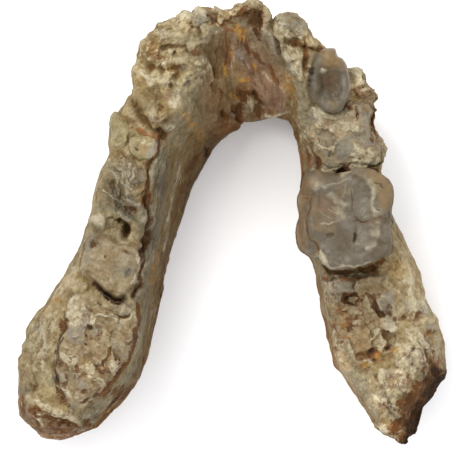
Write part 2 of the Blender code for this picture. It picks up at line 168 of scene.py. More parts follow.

# %% [markdown]
# ## Tools for listed marks
# A mark is a short line or a spot in plan that fades with the distance from it, so each can be moved,
# widened or weakened by one number. Crumbled crowns are laid out alike, as a few dozen plates that each
# claim the places nearest to them.

# %% Strokes, plates and outlines
STROKE_REACH = 2.6


def line_gap(x, y, line):
    """How far each place in plan is from a line of straight pieces, or from a spot."""
    gap = np.full(len(x), np.inf)
    ends = line if len(line) > 1 else [line[0], line[0]]
    for (ax, ay), (bx, by) in zip(ends[:-1], ends[1:]):
        ex, ey = bx - ax, by - ay
        t = np.clip(((x - ax) * ex + (y - ay) * ey) / max(ex * ex + ey * ey, TINY), 0, 1)
        gap = np.minimum(gap, np.hypot(x - ax - t * ex, y - ay - t * ey))
    return gap


def strokes(x, y, marks, blend=np.add, waver=None, power=3):
    """Height or strength of listed marks over places in plan.

    A mark is (amount, half width, x, y, x, y ...): a line, or a spot where there is one place. It fades as
    exp(-(distance / half width) ** power), and the waver changes the width from place to place.
    """
    waver = np.ones_like(x) if waver is None else waver
    total = np.zeros_like(x)
    for amount, width, *places in marks:
        line = np.reshape(places, (-1, 2))
        low, high = line.min(axis=0) - STROKE_REACH * width, line.max(axis=0) + STROKE_REACH * width
        near = np.nonzero((x > low[0]) & (x < high[0]) & (y > low[1]) & (y < high[1]))[0]
        gap = line_gap(x[near], y[near], line)
        total[near] = blend(total[near], amount * np.exp(-((gap / width / waver[near]) ** power)))
    return total


def plates(x, y, table, blend):
    """Broken plates of a crumbled crown, with the borders between them blended over a short way.

    A plate is (stain, strength, level, lean in x, lean in y, size, x, y ...). Its gap is the distance from
    its line less its size, and its weight is exp(-gap / blend) divided by the sum over all plates. Gives the
    weighted height, the distance from the nearest joint, and the strength of each stain.
    """
    gaps, tops = [], []
    for _, _, level, lean_x, lean_y, size, *places in table:
        line = np.reshape(places, (-1, 2))
        gaps.append(line_gap(x, y, line) - size)
        tops.append(level + lean_x * (x - line[0, 0]) + lean_y * (y - line[0, 1]))
    weights = np.exp((np.min(gaps, axis=0) - gaps) / blend)
    weights /= weights.sum(axis=0)
    stains = {}
    for weight, (word, strength, *_) in zip(weights, table):
        stains[word] = np.maximum(stains.get(word, 0), strength * weight)
    nearest = np.partition(gaps, 1, axis=0)
    return np.sum(weights * tops, axis=0), nearest[1] - nearest[0], stains


def outline_distance(x, y, outline):
    """How far each place in plan is outside a closed outline; it is negative inside."""
    gap = line_gap(x, y, np.vstack([outline, outline[:1]]))
    inside = np.zeros(len(x), bool)
    for (ax, ay), (bx, by) in zip(outline, np.roll(outline, -1, axis=0)):
        ex, ey = bx - ax, by - ay
        crosses = (ay > y) != (by > y)
        inside ^= crosses & (x < ax + (y - ay) / (ey if abs(ey) > TINY else TINY) * ex)
    return np.where(inside, -gap, gap)


from_a_mark = np.array([0.0, 0.5, 1.0, 1.5])
print("a mark at", from_a_mark, "half widths:", strokes(from_a_mark, np.zeros(4), [(1, 1, 0, 0)]).round(2))

# %% [markdown]
# ## The outline of the bone
# The bone is measured as pairs of points, one on its outer and one on its inner edge, station by station
# from the broken end on the left, round the chin, to the broken end on the right. The outer edge is
# chipped, so it also has a finer line of its own, which the loft is stretched to meet.

# %% Edges of the bone
OUTER_EDGE = pairs(
    -26.6, -30.3, -29.2, -28.8, -30.5, -26.4, -30.4, -23.4, -30.4, -20.4, -29.9, -17.4, -28.8, -14.2,
    -26.8, -11.5, -24.6, -8.5, -23, -5.4, -21.7, -2.6, -20.6, 0.3, -20, 3, -19.4, 5.6, -18.3, 8.2,
    -17.8, 10.9, -17.6, 13.4, -16.3, 16, -14, 18.7, -14.3, 21.6, -13.3, 24.3, -12.1, 26.4, -9.9, 28.4,
    -7, 29.8, -4.2, 30.5, -1.2, 30.5, 1.6, 31, 4.1, 31.3, 5.8, 29.3, 8.2, 29.9, 10.6, 28.1, 12.6, 25.9,
    15.2, 23.3, 17.8, 21.5, 19.4, 19.4, 20.5, 17.8, 20.2, 15.4, 20.6, 12.8, 21.7, 10.6, 21, 8.3, 21.7, 5.5,
    22.3, 2.8, 23, 0.4, 24.6, -2.5, 26.2, -5.6, 27.2, -8.6, 28, -11.6, 29.5, -14.3, 30.3, -17.2, 30.5, -20,
    30, -22.4, 29.2, -24.4, 27.5, -26.3, 26.5, -28.6, 25, -30.8,
)
INNER_EDGE = pairs(
    -22.6, -30.3, -19.4, -28.9, -17.2, -26.8, -14.6, -24.2, -12.8, -21, -11.7, -17.4, -10.9, -14.2,
    -10.2, -11.2, -9.7, -8.1, -9, -5, -8.2, -2.2, -7.3, 0.5, -6.4, 3.3, -5.2, 6.1, -3.8, 8.6, -2.4, 10.9,
    -0.7, 12.5, 0.8, 13.4, 1.3, 14.1, 1.7, 14.5, 2.1, 14.5, 2.5, 14.5, 2.9, 14.5, 3.3, 14.6, 3.7, 14.7,
    4.1, 14.8, 4.6, 14.9, 5.1, 15, 5.7, 15.1, 6.3, 15.1, 7, 15, 7.7, 14.8, 8.2, 14.5, 8.6, 13.9, 8.9, 13.3,
    9.2, 12.5, 9.5, 11.5, 9.7, 10.4, 9.9, 9.2, 10, 7.6, 9.9, 5.2, 9.8, 2.4, 9.9, -0.5, 10.6, -3.4, 11.7, -6.2,
    12.2, -9, 12.9, -12, 13.5, -14.7, 14, -17.4, 14.6, -20.2, 16.3, -22.5, 18, -25, 19.5, -27.3, 20.9, -29.3,
    23.4, -30.7,
)
CHIPPED_EDGE = pairs(
    -27.2, -30.4, -28.7, -29.2, -29.5, -28.5, -30.1, -27.7, -30.5, -26.4, -30.6, -25.6, -30.3, -23,
    -30.5, -21, -30.5, -19.3, -29.9, -18.6, -29.9, -17.5, -29.3, -16.5, -29.4, -15.5, -28.8, -14.2,
    -27.8, -12.8, -26.3, -11, -24.4, -8, -23.4, -6.2, -22.2, -4, -21.3, -2, -20.7, 0, -20, 2, -19.7, 4,
    -19, 6, -18.4, 8, -17.5, 10, -17.7, 11.3, -17.5, 13, -16.9, 15, -16.2, 16, -14.6, 18, -14, 18.5,
    -13.9, 19.5, -14.3, 21, -14.2, 22.2, -13.6, 22.6, -13.3, 24.5, -13.2, 25.5, -12.4, 26.1, -11.9, 26.9,
    -10.8, 27.7, -10.5, 28.3, -9.5, 28.6, -7.7, 29, -7.2, 29.8, -6.5, 30.1, -5.6, 29.7, -5.2, 30.6,
    -3.2, 30.9, -2.7, 30.5, -2.3, 30.9, -1, 30.3, 0.4, 30.5, 1, 31, 2.8, 31.4, 3.5, 31.6, 4.6, 31, 5.2, 30.4,
    5.8, 29, 6.8, 29.5, 7.9, 30, 9.3, 29.5, 10.5, 28.5, 10.8, 27.9, 11.7, 26.4, 12.4, 26, 13.3, 25.1,
    14.6, 23.6, 16, 22.4, 17.2, 22, 18.6, 21.4, 19, 20.7, 18.8, 20.2, 19.9, 19.2, 20.8, 18, 20.1, 17,
    20.6, 15.2, 20.2, 14.5, 20.7, 12.8, 21.1, 12, 21.9, 10.5, 21.1, 9.3, 21.1, 7.4, 21.8, 5, 22.6, 2, 23.4, 0,
    24.9, -3, 25.8, -5, 26.8, -7, 27.4, -9, 27.8, -11, 28.6, -12.8, 29.4, -13.5, 29.7, -15, 30.2, -16.6,
    30.6, -18.5, 30.5, -21.5, 30.2, -22.2, 29.5, -23.2, 29.3, -24, 28.8, -24.8, 27.3, -26.2, 26.8, -27.6,
    26.1, -30, 25.4, -31.2,
)
print(len(OUTER_EDGE), "stations and", len(CHIPPED_EDGE), "points on the chipped edge")

# %% [markdown]
# ## The sections of the bone
# A section has ten points, each with its share of the way from the outer to the inner edge, and its height:
# five from the outer edge over the top, then five down the inner wall and back below. The left inner wall
# leans, so it shows from above; the right one is nearly upright. Behind the chin the inner face is a ramp.

# %% Sections
SECTIONS = {
    0: (0, 8, 0.25, 11, 0.5, 11.5, 0.75, 11, 0.9, 10,
        0.98, 8.5, 1, 7, 0.8, 5, 0.2, 5, 0.03, 6.5),
    1: (0, 9, 0.18, 15, 0.5, 16, 0.76, 15, 0.9, 13,
        0.98, 10.5, 1, 8.5, 0.85, 2, 0.25, 2, 0.04, 5.5),
    2: (0, 11, 0.13, 18.6, 0.45, 20.3, 0.76, 19.2, 0.9, 16,
        0.98, 12, 1, 9, 0.88, 0.2, 0.3, 0, 0.07, 4.5),
    4: (0, 13, 0.25, 20.6, 0.58, 20.9, 0.89, 20.3, 0.95, 16.8,
        0.99, 12.8, 1, 9.5, 0.9, -0.7, 0.35, -0.7, 0.09, 4.6),
    6: (0, 13, 0.24, 20.8, 0.55, 21, 0.85, 20.6, 0.93, 16.8,
        0.98, 12.3, 1, 8.5, 0.9, -0.4, 0.33, -0.5, 0.08, 5),
    8: (0, 12.5, 0.18, 20.9, 0.47, 21, 0.78, 20.9, 0.87, 17,
        0.96, 12, 1, 7.5, 0.9, 0.7, 0.31, 0.3, 0.07, 5.2),
    11: (0, 15.5, 0.06, 21.3, 0.33, 21.3, 0.63, 21.7, 0.76, 18.2,
        0.9, 12.6, 1, 6.5, 0.92, 0.9, 0.35, 0.8, 0.1, 6),
    15: (0, 17.5, 0.05, 22.3, 0.25, 22.3, 0.49, 22.6, 0.63, 18.8,
        0.82, 12.2, 1, 5.5, 0.93, 0.6, 0.4, 0.6, 0.12, 8),
    18: (0, 19, 0.05, 24.4, 0.24, 24.2, 0.5, 23.2, 0.66, 18.6,
        0.84, 11.6, 1, 5, 0.92, -0.3, 0.42, -0.3, 0.14, 9),
    21: (0, 21, 0.05, 26.2, 0.24, 25.8, 0.5, 24.4, 0.62, 19.2,
        0.8, 12.4, 1, 4.5, 0.93, -0.7, 0.46, -0.7, 0.17, 9.5),
    24: (0, 23.5, 0.04, 28.4, 0.11, 28.8, 0.19, 28, 0.42, 21.2,
        0.72, 13.4, 1, 4, 0.94, -0.7, 0.5, -0.7, 0.2, 9.5),
    26: (0, 25.5, 0.03, 30.2, 0.1, 29.2, 0.2, 26.6, 0.43, 20.8,
        0.72, 13.2, 1, 4.2, 0.94, -0.7, 0.48, -0.7, 0.2, 10),
    28: (0, 22.5, 0.05, 28, 0.15, 27.6, 0.27, 26, 0.52, 19.2,
        0.79, 11.4, 1, 4.5, 0.93, -0.7, 0.45, -0.7, 0.15, 10),
    30: (0, 20.5, 0.05, 26.2, 0.25, 26.2, 0.52, 24.6, 0.69, 18.6,
        0.87, 11.2, 1, 5, 0.92, -0.2, 0.43, -0.2, 0.12, 9.5),
    33: (0, 17, 0.06, 22, 0.4, 23, 0.8, 22.7, 0.88, 18.2,
        0.96, 12.4, 1, 7, 0.88, 0.5, 0.36, 0.5, 0.1, 8),
    37: (0, 15, 0.07, 21.2, 0.45, 22, 0.87, 21.9, 0.93, 17.6,
        0.98, 12.4, 1, 8, 0.87, 0.8, 0.35, 0.8, 0.11, 6.2),
    41: (0, 13.5, 0.08, 20.4, 0.5, 20.6, 0.89, 20.8, 0.95, 17,
        0.98, 12.8, 1, 9, 0.88, 0.9, 0.33, 0.9, 0.11, 5.4),
    44: (0, 12, 0.25, 20.2, 0.6, 19.8, 0.91, 20.2, 0.96, 16.6,
        0.99, 12.6, 1, 9, 0.89, 0.6, 0.3, 0.4, 0.08, 5),
    47: (0, 11.5, 0.34, 19.8, 0.65, 19.2, 0.93, 19.6, 0.97, 16.2,
        0.99, 12.4, 1, 9, 0.89, -0.6, 0.34, -0.6, 0.09, 4.5),
    49: (0, 9.5, 0.2, 18.6, 0.55, 19.6, 0.89, 19.4, 0.96, 16,
        0.99, 12.4, 1, 9, 0.89, -0.7, 0.34, -0.7, 0.07, 4),
    51: (0, 5.5, 0.34, 18.6, 0.6, 19, 0.87, 18.4, 0.95, 15,
        0.99, 11.6, 1, 8.8, 0.86, 0.2, 0.28, 0.6, 0.04, 3.2),
    53: (0, 7, 0.48, 16.4, 0.65, 16.8, 0.84, 15.8, 0.93, 13.6,
        0.99, 11.2, 1, 9.2, 0.85, 4, 0.3, 3.6, 0.05, 5.2),
    54: (0, 10, 0.36, 13.2, 0.55, 13.6, 0.74, 13.2, 0.9, 12.2,
        0.98, 11, 1, 10, 0.8, 8.2, 0.3, 8, 0.05, 8.8),
}
print(len(SECTIONS), "sections")

# %% [markdown]
# ## Lofting the bone
# The mesh is a grid: rings along the jaw, points round each ring, most of them on the side with the teeth.
# It stays an array until the end, so that relief can be added to all of it at once.

# %% The loft
RINGS = 470
POINTS_PER_SPAN = (20, 36, 36, 30, 22, 14, 8, 8, 9, 13)
END_RINGS = 12
END_BULGE = 1.0
END_TIP = 0.02
RINGS_FROM_END = 8
CHIP_DEPTH = 7.0
CHIP_FADE = 1.5
NEAR_EDGE = 0.2


def section_at(stations):
    """The ten points of the section at each station, blended smoothly between the chosen sections."""
    known = sorted(SECTIONS)
    table = np.array([pairs(*SECTIONS[k]) for k in known])
    row = np.interp(stations, known, np.arange(len(known)))
    low = np.minimum(row.astype(int), len(known) - 2)
    f = ease(row - low, 0, 1)[:, None, None]
    return table[low] * (1 - f) + table[low + 1] * f


def meets(origin, ray, line):
    """How far along each ray, in its own lengths, it meets the line near its end; 1 where it misses.

    A ray and a piece of the line cross where origin + t * ray = a + w * (b - a), with w from 0 to 1.
    """
    a, edge = line[None, :-1], (line[1:] - line[:-1])[None]
    rel, ray = a - origin[:, None], ray[:, None]

    def cross(p, q):
        return p[..., 0] * q[..., 1] - p[..., 1] * q[..., 0]

    below = cross(ray, edge)
    below = np.where(np.abs(below) < TINY, TINY, below)
    t, w = cross(rel, edge) / below, cross(rel, ray) / below
    off = np.where((w >= 0) & (w <= 1) & (np.abs(t - 1) < NEAR_EDGE), np.abs(t - 1), np.inf)
    best = off.argmin(axis=1)
    rows = np.arange(len(t))
    return np.where(off[rows, best] < NEAR_EDGE, t[rows, best], 1.0)


def rounded_end(ring, inward):
    """Rings that close an end like a shallow dome: they shrink as the cosine and move out as the sine."""
    middle = ring.mean(axis=0)
    outward = (middle - inward.mean(axis=0)) / np.linalg.norm(middle - inward.mean(axis=0))
    angle = np.linspace(0, math.pi / 2, END_RINGS + 1)[1:, None, None]
    shrunk = (ring - middle) * np.maximum(np.cos(angle), END_TIP)
    return middle + shrunk + outward * END_BULGE * np.sin(angle)


def bone_grid():
    """Rings by points by three: the loft of the sections between the two edges, with both ends closed.

    Also gives the share of the way across, so that later steps know the outer from the inner side.
    """
    stations = np.linspace(0, len(OUTER_EDGE) - 1, RINGS)
    outer, inner = spline(OUTER_EDGE, stations), spline(INNER_EDGE, stations)
    stretch = meets(inner, outer - inner, CHIPPED_EDGE)
    chips = (outer - inner) * (stretch - 1)[:, None]
    at = np.concatenate([k + np.arange(n) / n for k, n in enumerate(POINTS_PER_SPAN)])
    rings = closed_spline(section_at(stations).transpose(1, 0, 2), at).transpose(1, 0, 2)
    share = np.clip(rings[..., 0], 0, 1)
    height = rings[..., 1]
    reach = (1 - share) ** CHIP_FADE * np.exp(-(((height - height[:, :1]) / CHIP_DEPTH) ** 2))
    plan = outer[:, None] * (1 - share[..., None]) + inner[:, None] * share[..., None]
    plan += chips[:, None] * reach[..., None]
    grid = np.concatenate([plan, height[..., None]], axis=2)
    start = rounded_end(grid[0], grid[RINGS_FROM_END])
    end = rounded_end(grid[-1], grid[-1 - RINGS_FROM_END])
    grid = np.concatenate([start[::-1], grid, end])
    share = np.concatenate([np.repeat(share[:1], END_RINGS, 0), share, np.repeat(share[-1:], END_RINGS, 0)])
    return grid, share


def outward_normals(grid):
    """Directions out of a grid: the cross product of the steps round it and along it, turned outwards."""
    along = np.gradient(grid, axis=0)
    around = np.roll(grid, -1, axis=1) - np.roll(grid, 1, axis=1)
    normal = np.cross(around, along)
    normal /= np.maximum(np.linalg.norm(normal, axis=2, keepdims=True), TINY)
    if np.sum(normal * (grid - grid.mean(axis=1, keepdims=True))) < 0:
        normal = -normal
    return normal


bone, bone_share = bone_grid()
bone_low, bone_high = bone.min(axis=(0, 1)), bone.max(axis=(0, 1))
print("the bone's grid:", bone.shape, "from", bone_low.round(1), "to", bone_high.round(1))

# %% [markdown]
# ## The teeth in plan
# Every tooth or stump has an outline seen from above. The bone needs these too: it sinks a little under
# each tooth, so the tooth's side comes straight out of it.

# %% Outlines of the teeth
TEETH = {"right_second_molar": pairs(
    10, 6.1, 10.5, 7, 12.2, 7.7, 13.3, 7.2, 15, 7.1, 16.8, 7.5, 17.5, 8, 18.5, 7.9, 20, 7.7, 21.3, 7.1,
    22.6, 6, 23.1, 4.8, 23.1, 3.4, 22.9, 2, 22.8, 1, 22.7, -1, 22.9, -2.6, 22.8, -4, 22.3, -4.8, 21.2, -5,
    20, -5.6, 18.5, -6.1, 17, -6.5, 15.5, -6.7, 14, -6.6, 13.2, -6, 12.4, -5, 11.6, -5, 10.5, -4.5, 9.6, -3.6,
    9.2, -2.4, 9.1, -1.2, 9.3, 0, 9.6, 1, 9.4, 2.5, 9.4, 3.8, 9.8, 4.8,
), "right_premolar": pairs(
    12.2, 24.1, 13, 24.8, 13.8, 25, 14.7, 24.95, 15, 24.3, 15.3, 23.8, 15.9, 23.5, 16.4, 22.6, 16.7, 21.4,
    17, 19.6, 16.8, 18.5, 16.4, 17.4, 15.8, 16.3, 15.1, 15.9, 14.2, 15.8, 13, 16.2, 12.3, 16.9, 11.5, 17.4,
    10.9, 18.2, 10.8, 19.4, 11, 20.6, 11.2, 21.8, 11.5, 23,
), "right_first_molar": pairs(
    11.1, 16.4, 12.4, 16.2, 13.6, 15.3, 14.8, 15, 15.8, 15.7, 16.4, 16.6, 17.6, 17.3, 19, 17.4, 20.1, 16.8,
    20.3, 15.6, 19.8, 14.3, 20.3, 12.6, 21, 11.4, 21.1, 10, 20.8, 8.7, 19.4, 8.3, 17.2, 8.4, 16, 8.3,
    14.8, 7.8, 13.2, 7.9, 12.6, 8.6, 12.1, 9.8, 11.8, 11.4, 11.3, 13, 11, 14.8,
), "right_third_molar": pairs(
    13.6, -7.8, 15.6, -7.6, 17.6, -7.6, 19.6, -7.4, 21.4, -7.4, 22.6, -9, 23.2, -11.2, 23.2, -13.4,
    23.9, -15.4, 23.8, -17.2, 22.2, -18.6, 20.6, -19.6, 18.8, -20.8, 16.9, -20.8, 15.5, -19.5, 14.9, -17.4,
    14.6, -14.8, 14.2, -12.4, 13.6, -10.2,
), "left_third_molar": pairs(
    -22.9, -10.6, -23.5, -12.2, -23.5, -14.4, -24, -16, -24.8, -17.6, -25.1, -19.4, -25.2, -21, -25, -22.6,
    -24.4, -24, -23.6, -25.4, -22.6, -25.9, -21.4, -25.4, -19.8, -24.7, -18.4, -23.8, -17.2, -22.4,
    -16.2, -21, -15, -19.4, -14.3, -17.6, -13.7, -15.5, -13.6, -13.6, -14, -12.3, -15.2, -11.4, -16.6, -12,
    -18.2, -12, -20, -11.2, -21.4, -10.5,
), "left_second_molar": pairs(
    -19.6, -0.9, -20.7, -3.2, -21.4, -5.2, -21.6, -6.5, -20.2, -7.7, -18.6, -9.2, -17, -10.6, -15.6, -10.8,
    -14.2, -9.2, -13.3, -7, -12.9, -5.4, -13, -4.2, -14.2, -3.2, -16, -2.9, -17.8, -1.8,
), "left_first_molar_root": pairs(
    -18.7, 5.4, -17.8, 7.2, -16.6, 8.7, -14.8, 8.8, -13.1, 8.4, -12.4, 7, -12.5, 5.2, -13.2, 3.7, -14.8, 2.8,
    -16.8, 2.8, -18.4, 3.6,
), "left_premolar_outer_root": pairs(
    -16.7, 15.3, -15.8, 15.2, -15.2, 14.4, -15, 12.9, -15.2, 11.7, -16, 11.1, -16.9, 11.5, -17.2, 12.8,
    -17.2, 14.2,
), "left_premolar_inner_root": pairs(
    -14.3, 12.2, -13.2, 12.5, -11.8, 12.3, -10.8, 11.8, -10.4, 10.9, -10.8, 9.8, -11.8, 9.2, -13, 9.2,
    -14.2, 9.8, -14.6, 11,
)}
FINE_COUNT = 2001


def path_length(path):
    """The length of a path from its start to each of its points."""
    return np.concatenate([[0], np.cumsum(np.linalg.norm(np.diff(path, axis=0), axis=1))])


def smooth_outline(name, count):
    """The tooth's outline as count places, evenly spread along a smooth closed curve through its points."""
    points = TEETH[name]
    fine = closed_spline(points, np.linspace(0, len(points), FINE_COUNT))
    length = path_length(fine)
    at = np.interp(np.arange(count) / count * length[-1], length, np.arange(FINE_COUNT))
    return spline(fine, at)


print("middles:", {name: smooth_outline(name, 60).mean(axis=0).round(1).tolist() for name in TEETH})

# %% [markdown]
# ## Lumps, ledges, pits and grooves of the bone
# These make it this jaw. The front left is rubble, where the crowns of the front teeth broke away; the
# middle is a hollow ramp; the back ends are worn plates. A carved displacement picture could hold them, but
# a list of marks stays readable: a height, a half width, and a line or a spot.

# %% Relief of the bone
BONE_RELIEF = [
    (-0.66, 0.7, -11.5, 22.3), (-0.49, 0.5, -10.2, 22), (-0.74, 0.7, -8, 22.3, -7.2, 22.1),
    (-0.57, 0.6, -8, 24), (-0.49, 0.6, -7.9, 20.8), (-0.57, 0.5, -6.3, 19.7), (-0.5, 0.5, -8.5, 19.7),
    (0.4, 1.3, -11.3, 24.3), (0.5, 1.3, -7.6, 28.8, -5.9, 29.2), (0.6, 1.1, -4.9, 29.4, -3.8, 29.2),
    (-0.49, 0.5, -5.6, 28.5, -5.5, 30.4), (-1.2, 0.7, -3, 29.9, -2.4, 28.8), (0.66, 0.9, -9.6, 23.2),
    (0.57, 0.9, -10.6, 26.3), (0.66, 0.8, -8.6, 26.4, -7.4, 26.6), (-0.66, 0.5, -9.6, 25.2, -6.9, 25.4),
    (0.49, 0.7, -6.2, 23.4, -6, 21.6), (0.57, 0.8, -9.4, 20.7), (0.49, 0.6, -12.3, 25.6),
    (0.8, 0.7, -3.5, 27.7, -4.7, 26.3, -5.6, 25.2), (0.5, 0.9, -5, 24, -3.4, 22, -3, 20.5),
    (-0.4, 0.7, -2.6, 22.2, -2.3, 19.7), (-0.3, 1.5, -2.5, 25), (0.57, 1.5, -13.2, 21.8, -11.2, 19.4),
    (0.5, 1, -12.2, 17.6, -10.6, 15.6), (-0.4, 0.4, -11.3, 19.4, -10.6, 18.2), (0.4, 1.5, -8.6, 17.4),
    (0.4, 1.1, -11.5, 15.3), (-0.5, 0.6, -10.3, 16.5), (-0.4, 0.5, -9.6, 14.5),
    (-0.9, 0.6, -10.3, 13.2, -9.3, 12.3), (-0.7, 0.5, -12.7, 7.5, -12.4, 6.2), (0.9, 0.8, -19, 0.4),
    (0.6, 0.9, -12.8, 0.6, -11.9, 0.2), (0.5, 0.9, -14.2, 1.4, -12.9, 2.2),
    (-0.7, 0.4, -10.3, 12, -10.4, 10.2, -11.9, 8.5, -12, 6.5, -12.2, 4.2, -12.2, 2.6, -11.6, 1.6),
    (-0.8, 0.4, -11.6, 1.6, -12, -1.3, -12.6, -3.2, -12.7, -6.5, -13.2, -8.6, -14, -10.3),
    (-0.4, 1.1, -19.8, -9.2, -18.2, -10.6, -17, -11.6), (-1.8, 0.8, -18.4, -8.9, -17.2, -10, -16.3, -10.6),
    (0.6, 0.8, -22.4, -9.4, -21.4, -9.2), (0.4, 0.7, -22, -7.4, -22.6, -8.2), (-0.5, 0.8, -28, -15),
    (-0.4, 0.5, -27.5, -17.2), (-0.5, 0.8, -28.2, -23.3),
    (0.6, 0.45, -29.5, -24.7, -27.6, -25.9, -26, -26.5, -24, -27.1, -22, -28),
    (-0.5, 0.6, -28.4, -26.8, -26, -27.6, -23.6, -28.4), (0.4, 0.4, -28, -27, -26.8, -28.4),
    (-0.6, 0.6, -20.5, -28.6), (-0.5, 0.6, -18.5, -27.2, -17.2, -26.2), (-0.4, 0.7, -20, -26.2),
    (-1.1, 1.4, 0.6, 29.3, 3.2, 29.5), (-0.7, 0.6, -1.6, 29.4), (0.6, 0.5, -2, 30.6, 0.4, 30.5),
    (0.7, 0.5, 1.4, 31, 3.6, 31.4, 4.6, 30.9), (0.6, 0.6, 4.9, 29.8, 5, 28.4, 4.4, 27),
    (0.5, 0.9, 1, 27.2, 1.6, 26.6), (-0.4, 0.9, 1.6, 24.6, 2.6, 23.4), (0.35, 0.4, 0.1, 25.2, 0.1, 22.4),
    (-0.25, 0.7, 0.9, 26, 3.2, 23.4, 5.5, 21, 7, 17.2), (0.4, 0.5, 2.6, 22.4, 4.6, 19.6, 5.6, 17),
    (-0.5, 0.5, 1.5, 18.2), (-0.5, 0.5, 3.3, 18.2), (0.9, 0.8, 2.5, 16.8), (-0.6, 0.6, 0.9, 16.6, 1.2, 15),
    (-0.6, 0.5, 4.1, 17, 3.7, 15.6), (0.35, 0.4, 8, 16.2, 5.6, 15.5, 3.5, 15.3), (0.3, 0.7, 1.6, 20.7),
    (-0.15, 0.6, -1.4, 27, -1.6, 22.8, -1, 18.6),
    (-0.7, 0.4, 5.7, 29.6, 5.9, 27.6, 6.6, 25.2, 7.4, 21.5, 8, 17.6), (0.21, 1, 7, 28.8),
    (0.26, 1, 9.2, 28.9, 10, 28.2), (-0.7, 0.7, 7.9, 26, 10.2, 25.5), (0.26, 0.5, 8, 26.9, 10, 26.6),
    (-0.35, 0.3, 8.2, 27.3, 8.9, 28.2), (0.21, 0.8, 7.8, 24.2, 8.4, 22.8), (0.26, 0.7, 9, 24.2, 9.5, 21.2),
    (-0.49, 0.7, 10.7, 24.6, 10.5, 22.6), (-0.63, 0.6, 10.9, 25, 12.6, 25), (0.26, 0.6, 6.8, 26.9),
    (0.21, 0.5, 8.3, 20.2, 9, 18), (0.9, 0.8, 17.9, 21.2, 18, 20), (0.6, 0.7, 19, 18.6),
    (-0.7, 0.5, 17.4, 18.4, 18.6, 17.9), (0.8, 0.7, 20.9, 12.1, 21.2, 10.9),
    (-1.5, 0.6, 19.6, 8.1, 21.2, 7.8), (0.3, 0.45, 15.7, 7.6, 16.8, 8.1),
    (-1, 0.4, 11.2, 11.4, 12.2, 9.4, 12.6, 8.4), (0.28, 0.5, 9.7, 18.6, 10.2, 14),
    (1.4, 0.8, 12.8, 7.8, 14.4, 7.6), (1.8, 0.8, 17.4, 8, 19, 8),
    (-0.9, 0.6, 13.4, -6.7, 16, -7.1, 18, -6.8, 20, -6.4), (-0.5, 0.5, 25.2, -13.1, 26.5, -13),
    (0.4, 1.4, 24.4, -8.6, 25.6, -11), (0.7, 0.9, 28.3, -14.4), (0.5, 0.8, 29.2, -16.4),
    (-0.6, 0.5, 24.2, -13.6, 27, -14.2), (-0.6, 0.6, 28, -18.6, 28.5, -19.5),
    (0.5, 1.2, 25.6, -17.2, 24.4, -19.8), (-0.4, 0.8, 26, -20.4), (0.5, 0.7, 22.2, -21, 21, -22.8),
    (0.7, 0.5, 30.2, -21, 28.4, -21.6, 27, -22.6, 26, -24.2), (-0.5, 0.6, 18.8, -19.4),
    (0.7, 0.7, 21.6, -29.2, 23, -30.2), (0.35, 1.2, 15.6, -21.4, 18.4, -25.6, 20.6, -28.6),
    (-0.3, 0.3, 20.6, -21.8, 22.6, -25.2, 23, -28), (-0.4, 0.5, -16.3, 3.5, -15.5, 2.8),
    (-0.4, 0.5, -14.3, 2.1), (-0.5, 0.35, -17.3, 0.7, -16.2, 0.3), (-1.3, 0.55, -16, 0.2, -15, 0),
    (-1.5, 0.5, -15.2, -0.1, -15, -1), (-1.1, 0.35, -15, -1, -15.1, -2), (0.5, 1.1, -17.9, -1, -16.9, -1.7),
    (-0.8, 0.35, -14.5, 17.5, -13, 15.5, -11.7, 13.8, -10.7, 13), (-0.3, 0.4, -15, 11, -14.9, 14.6),
    (0.5, 0.45, 26, -24.2, 24.7, -26.6, 23.7, -29), (-0.7, 1.4, 29.4, -23.6, 27.6, -26.2, 26, -29.4),
    (1.1, 0.5, 13, 15.9, 14.2, 15.2, 15.6, 15.3, 16.8, 16.3), (1.2, 0.45, 14.8, 8.5, 15.6, 8.6),
    (-0.5, 0.25, -24.3, -16, -25.2, -18.8, -25.4, -21, -25, -23.2, -23.8, -25.4),
]
ROUGH_ZONES = [
    (1, 3.2, -11, 24, -8, 27.4, -4.6, 29.2), (1, 2.6, -8.6, 21.8), (0.8, 1.4, -3.6, 27, -5.6, 24.6, -4, 21),
    (0.9, 2, 0.4, 29.6, 3.6, 29.8), (0.9, 2.8, 7.6, 28, 9.4, 25.2, 9.2, 22), (0.5, 1.6, 9.4, 17.4, 10.3, 13),
    (0.8, 1.6, 17.8, 20.8, 19.6, 18.4), (0.8, 1.4, 21, 12.4, 21, 8.6), (0.55, 2.4, -15, 2, -17.6, -1.4),
    (0.35, 2, -13.4, 17.6, -8.6, 15.6), (0.7, 2.6, 27.6, -17, 25.6, -20, 22.6, -24),
    (0.5, 2.4, 20.4, -22.6, 22.6, -28.4), (0.9, 2.6, 28.8, -23.6, 26.4, -27.6, 25, -30.4),
    (0.5, 1.4, 24.6, -13, 28.6, -14.6), (0.45, 2.2, -28.4, -27.6, -23.6, -29.4, -19.2, -27.6),
    (0.3, 1.4, -28.2, -15.2, -28.6, -22.8), (0.6, 1.2, 2.4, 17.2), (0.4, 1, -22.6, -9.4, -19.6, -8.6),
]
print(len(BONE_RELIEF), "marks in the bone's relief")

# %% [markdown]
# ## Adding the relief
# The bone is pushed out along its own normals. Marks count only where the surface looks upwards, because
# they are measured in plan and would smear down a wall. Noise and blocks are worked out in three
# dimensions, so the outer walls get their share.

# %% Rubble and fibres
BEND, BEND_SIZE = 0.26, 1.5
WAVER, WAVER_SIZE = 0.45, 1.7
WISP_DIRECTION = (0.62, -0.78)
WISP_LENGTH, WISP_WIDTH = 3.4, 0.62
FIBROUS_ZONE = [
    (1, 2.6, -16, 8, -15.4, 4.6, -15.6, 1.6), (0.6, 1.2, -17.8, 5, -18.6, 2.4),
]


